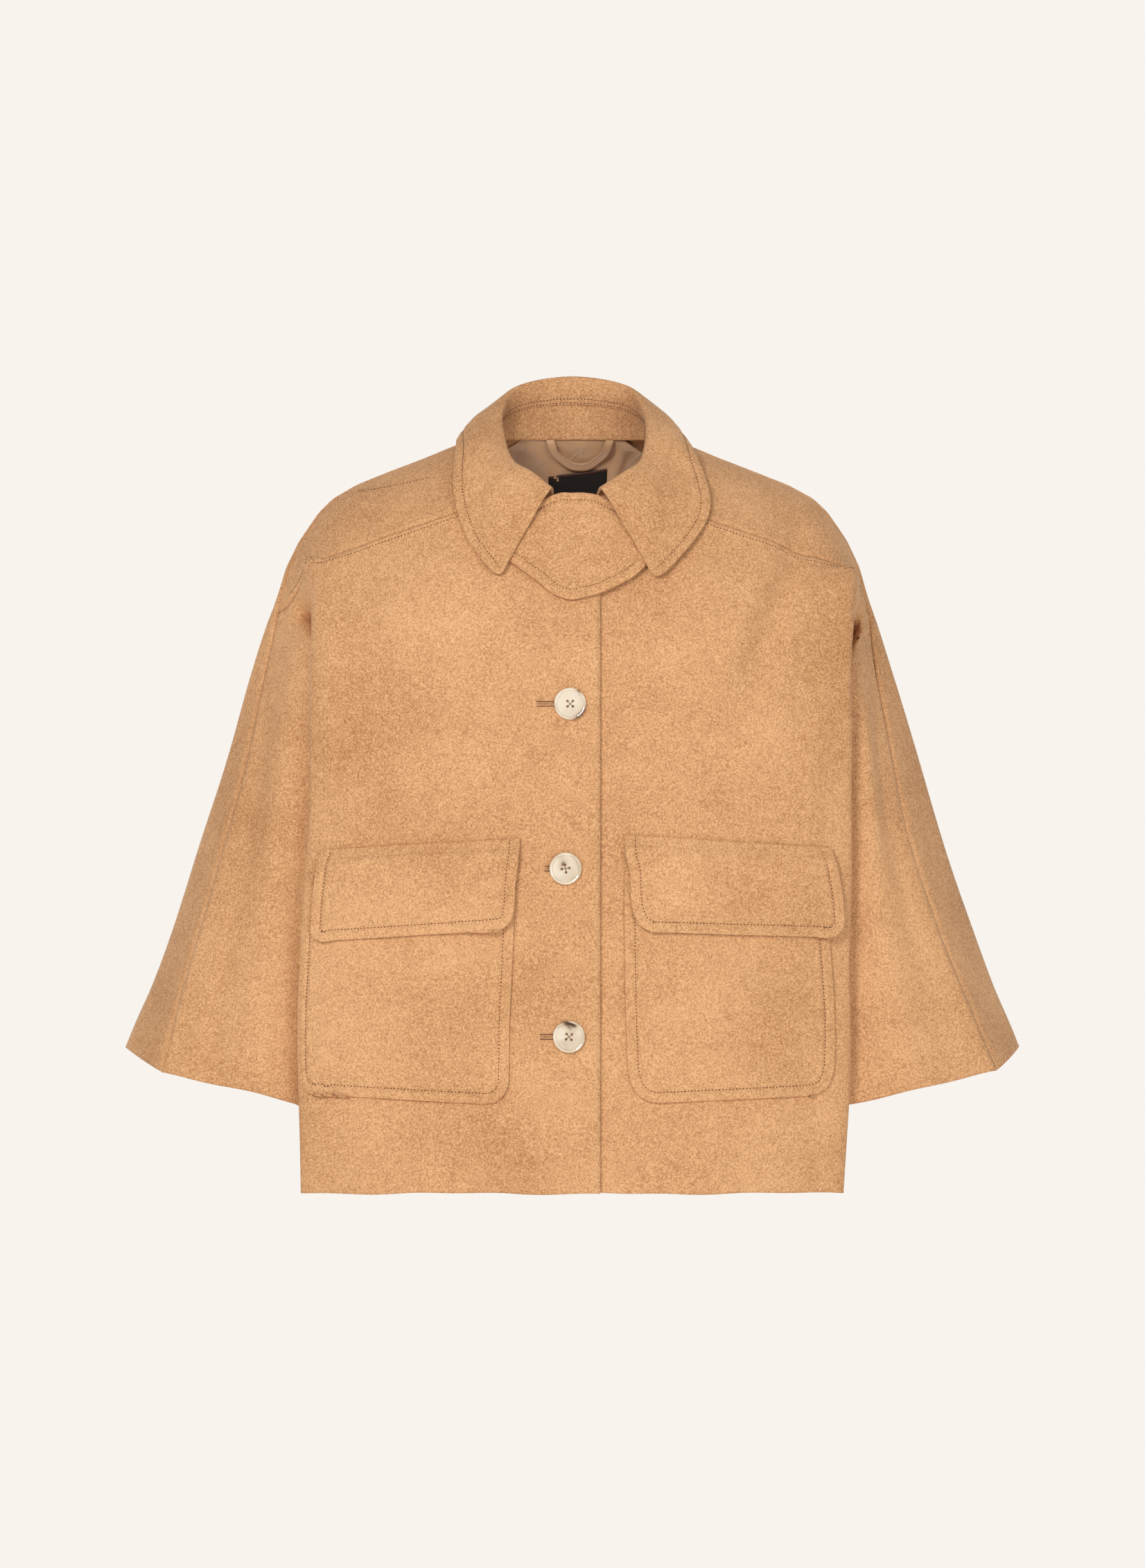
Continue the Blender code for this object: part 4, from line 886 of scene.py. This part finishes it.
# Near-black: painted shade in the cut of a buttonhole.
SLIT_SHADE = plain("slit", (0.05, 0.025, 0.012), 0.9)
BUTTONS = [
    # centre x, z, turn of the thread in degrees, and the buttonhole from x to x
    ("button_top", -2, -220, 45, -31, -14),
    ("button_middle", -6, -362, 8, -24, -16),
    ("button_bottom", -3, -507, 40, -28, -15),
]
HOLE_POINTS = 24
HOLE_HALF_WIDTH = 2.0
THREAD_REACH = 3.3      # from the button's centre to the end of a thread
THREAD_OUT = 1.75       # above the button's back
for name, button_x, button_z, turn, hole_start, hole_end in BUTTONS:
    for material_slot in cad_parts[name].material_slots:
        material_slot.material = HORN
    x = np.linspace(hole_start, hole_end, HOLE_POINTS)
    line = stack(x, front_at(x, button_z) - relief(-1, x, button_z) - 0.1, button_z + 0 * x)
    forwards = np.tile([[0.0, -1.0, 0.0]], (HOLE_POINTS, 1))
    # The slit: near-black spindles along the cut, painted shade.
    sewing(f"{name}_slit", [(line, forwards)], 2.0, 3.2, 0.32, SLIT_SHADE)
    rows = [(line + np.array([0, -0.15, shift]), forwards) for shift in (-HOLE_HALF_WIDTH, HOLE_HALF_WIDTH)]
    sewing(f"{name}_buttonhole", rows, 0.8, 1.6, 0.5)
    rise = front_depth(-1, button_x, button_z + 10) - front_depth(-1, button_x, button_z - 10)
    across_face = unit(np.array([[1.0, 0, 0], [0, float(rise) / 20, 1.0]]))
    out_of_face = -unit(np.cross(across_face[1], across_face[0]))
    out_of_face = out_of_face * -np.sign(out_of_face[1])
    centre = np.array([button_x, float(front_depth(-1, button_x, button_z)) - 0.4, button_z])
    centre = centre + out_of_face * THREAD_OUT
    crossed = []
    for angle in (math.radians(turn), math.radians(turn + 90)):
        way = across_face[0] * math.cos(angle) + across_face[1] * math.sin(angle)
        reach = np.linspace(-THREAD_REACH, THREAD_REACH, 9)[:, None]
        crossed.append((centre + reach * way, np.tile(out_of_face, (9, 1))))
    sewing(f"{name}_thread", crossed, 0.9, 1.8, 0.34)

# Inside the neck: the satin lining of the back, a bare black label sewn on it and the hanger loop.
SATIN = plain("satin", (0.86, 0.58, 0.36), 0.28)
# The satin's tone is mottled light and dark by a cloudy pattern: painted satin highlights over its own colour.
two_tone(SATIN, (0.56, 0.32, 0.16), (0.86, 0.58, 0.36), cloud(SATIN, 40))
SATIN.node_tree.nodes["Principled BSDF"].inputs["Sheen Weight"].default_value = 0.2
SATIN_WALL = 0.4
LINED = RINGS < 0.86
grids = []
for side in (-1, 1):
    body, _, normal, _ = half(side, False, BACK_BODY_AT, BACK_SLEEVE_AT)
    normal = normal[LINED][:, :BACK_EDGE + 1]
    grid = body[LINED][:, :BACK_EDGE + 1] - normal * (WALL + 0.7)
    x, z = grid[..., 0], grid[..., 2]
    fold = 4.0 * np.exp(-((x - 44 - 0.35 * z) / 4) ** 2) + np.exp(-((x - 6) / 1.8) ** 2)
    fold = fold + 1.3 * np.exp(-((x + 34 + z) / 6) ** 2) + 1.3 * np.sin(x / 8 + z / 11) + 1.3
    grids.append(grid - normal * fold[..., None] * ease(RINGS[LINED], 0, 0.05)[:, None, None])
centre = (grids[0][:, 0] + grids[1][:, 0]) / 2
for grid in grids:
    grid[:, 0] = centre
piece = panel("back_lining_cloth", grids, [1, -1], [(0, 0, 1, 0, slice(None))], None, SATIN_WALL, SATIN)
declare(piece, ["back_lining"])
SILVER = plain("silver thread", (0.80, 0.74, 0.66), 0.3)


def back_at(x, z):
    """The depth of the back's smooth surface on either side of the centre."""
    return np.where(x < 0, back_depth(-1, x, z), back_depth(1, x, z))


lining_points = np.concatenate(grids, axis=1)
lining_normals = np.concatenate([-grid_normals(grid, -side) for grid, side in zip(grids, (-1, 1))], axis=1)
lines = []
for start_x, start_z, size in ((-78, -34, 40), (-52, -34, 40), (-8, -13, 20), (24, -9, 18), (37, -23, 30)):
    x = start_x + np.linspace(0, size, 40)
    z = start_z + np.linspace(0, size, 40)
    line, line_normal = settle(stack(x, back_at(x, z) - 3, z), lining_points, lining_normals)
    lines.append((line + line_normal * 0.5, line_normal))
sewing("back_lining_lines", lines, 2.0, 2.4, 0.4, SILVER)


def inside_back(x, z, amount):
    """Points inside the back, this far in from its outer surface, and the direction into the room there."""
    grid = stack(x, back_at(x, z), z)
    normal = grid_normals(grid, -1)
    return grid - normal * amount, -normal


# The bare black label, ribbed across, is sewn to the lining with orange stitches along its top.
LABEL = plain("label", (0.016, 0.015, 0.016), 0.55)
two_tone(LABEL, (0.004, 0.004, 0.005), (0.016, 0.015, 0.016), cloud(LABEL, 1400))
share = np.linspace(0, 1, 30)
x = -21 + 51 * share
z = -19 + 7 * share - np.linspace(0, 26, 16)[:, None]
label, label_normal = inside_back(x + 0 * z, z, 6.6)
label = label + label_normal * (0.5 * np.sin(label[..., 0] / 8))[..., None]
piece = grid_cloth("neck_label_cloth", label, 0.5, -1, material=LABEL)
declare(piece, ["neck_label"])
ORANGE = plain("orange thread", (0.55, 0.13, 0.02), 0.5)
line = label[0] + label_normal[0] * 0.4 + np.array([0, 0, -0.8])
sewing("neck_label_stitches", [(line, label_normal[0])], 2.0, 1.9, 0.4, ORANGE)

# The hanger loop is a folded satin band, 6.5 mm wide, whose two ends are sewn into the neck seam.
LOOP_X = [-20.5, -20, -19, -15, -8, -0.5, 7, 14, 21, 28, 32, 33, 33.5]
LOOP_Z = [12, 10.5, 8, 2, -4, -8.5, -9.5, -8.5, -4, 2, 8, 10.5, 12]
LOOP_HALF = 3.25
number = np.linspace(0, 12, 80)
x = smooth(np.arange(13), LOOP_X, number)
z = smooth(np.arange(13), LOOP_Z, number)
way = unit(np.stack([np.gradient(x), np.gradient(z)], axis=1))
half_width = np.linspace(LOOP_HALF, -LOOP_HALF, 8)[:, None]
x, z = x - way[:, 1] * half_width, z + way[:, 0] * half_width
loop, loop_normal = inside_back(x, z, 8.4)
sewn = stack(x, back_at(x, 12) - 2.9, z)
loop = loop + (sewn - loop) * ease(z, 3, 10)[..., None]
piece = grid_cloth("hanger_loop_cloth", loop, 1.0, -1, material=SATIN)
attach(piece, "root")
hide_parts("hanger_loop")
rows = [(loop[edge] + loop_normal[edge] * 0.55, loop_normal[edge]) for edge in (1, -2)]
sewing("hanger_loop_stitches", rows, 2.2, 1.6, 0.2)

# A plain pale studio: a floor well below, soft lights, and a camera far off with a long lens, level with the
# middle of the garment.
PALE = plain("pale paper", (0.45, 0.43, 0.40), 1.0)
shader = PALE.node_tree.nodes["Principled BSDF"]
shader.inputs["Emission Color"].default_value = (1.0, 0.965, 0.92, 1)
shader.inputs["Emission Strength"].default_value = 0.6
mesh = bpy.data.meshes.new("floor")
mesh.from_pydata([(-5, -5, -1.1), (5, -5, -1.1), (5, 5, -1.1), (-5, 5, -1.1)], [], [(0, 1, 2, 3)])
mesh.materials.append(PALE)
floor = bpy.data.objects.new("floor", mesh)
bpy.context.scene.collection.objects.link(floor)
for name, place, aim, size, power in (
    ("key", (-1.5, -4.3, 1.5), (0, 0, -0.3), 1.2, 104),
    ("fill", (2.3, -4.6, 0.0), (0, 0, -0.35), 2.6, 60),
    ("top", (0.2, -0.9, 3.2), (0, 0, -0.2), 2.4, 18),
    ("back left", (-2.4, 4.0, 1.2), (0, 0, -0.3), 2.4, 70),
    ("back right", (2.8, 3.6, 0.4), (0, 0, -0.3), 2.4, 45),
):
    light = bpy.data.lights.new(name, "AREA")
    light.energy = power
    light.size = size
    light.color = (1.0, 0.97, 0.94)
    lamp = bpy.data.objects.new(name, light)
    lamp.location = place
    direction = np.array(aim) - np.array(place)
    lamp.rotation_euler = (math.acos(-direction[2] / np.linalg.norm(direction)), 0,
                           math.atan2(direction[1], direction[0]) - math.pi / 2)
    bpy.context.scene.collection.objects.link(lamp)
world = bpy.data.worlds.new("studio")
world.use_nodes = True
nodes, links = world.node_tree.nodes, world.node_tree.links
glow = nodes["Background"]
glow.inputs["Color"].default_value = (1.0, 0.975, 0.94, 1)
glow.inputs["Strength"].default_value = 0.3
paper = nodes.new("ShaderNodeBackground")
paper.inputs["Color"].default_value = (0.939, 0.896, 0.847, 1)
seen = nodes.new("ShaderNodeLightPath")
either = nodes.new("ShaderNodeMixShader")
links.new(seen.outputs["Is Camera Ray"], either.inputs[0])
links.new(glow.outputs[0], either.inputs[1])
links.new(paper.outputs[0], either.inputs[2])
links.new(either.outputs[0], nodes["World Output"].inputs["Surface"])
bpy.context.scene.world = world
AWAY = 32.0             # the camera's distance in metres
SEEN_HEIGHT = 1.357     # of the plane through the shoulders, from top to bottom of the picture
lens = bpy.data.cameras.new("camera")
lens.sensor_width = 36
lens.lens = lens.sensor_width * AWAY / SEEN_HEIGHT
lens.clip_end = 60
camera = bpy.data.objects.new("camera", lens)
camera.location = (0, -AWAY, -0.289)
camera.rotation_euler = (math.pi / 2, 0, 0)
bpy.context.scene.collection.objects.link(camera)
bpy.context.scene.camera = camera
bpy.context.scene.view_settings.view_transform = "Standard"
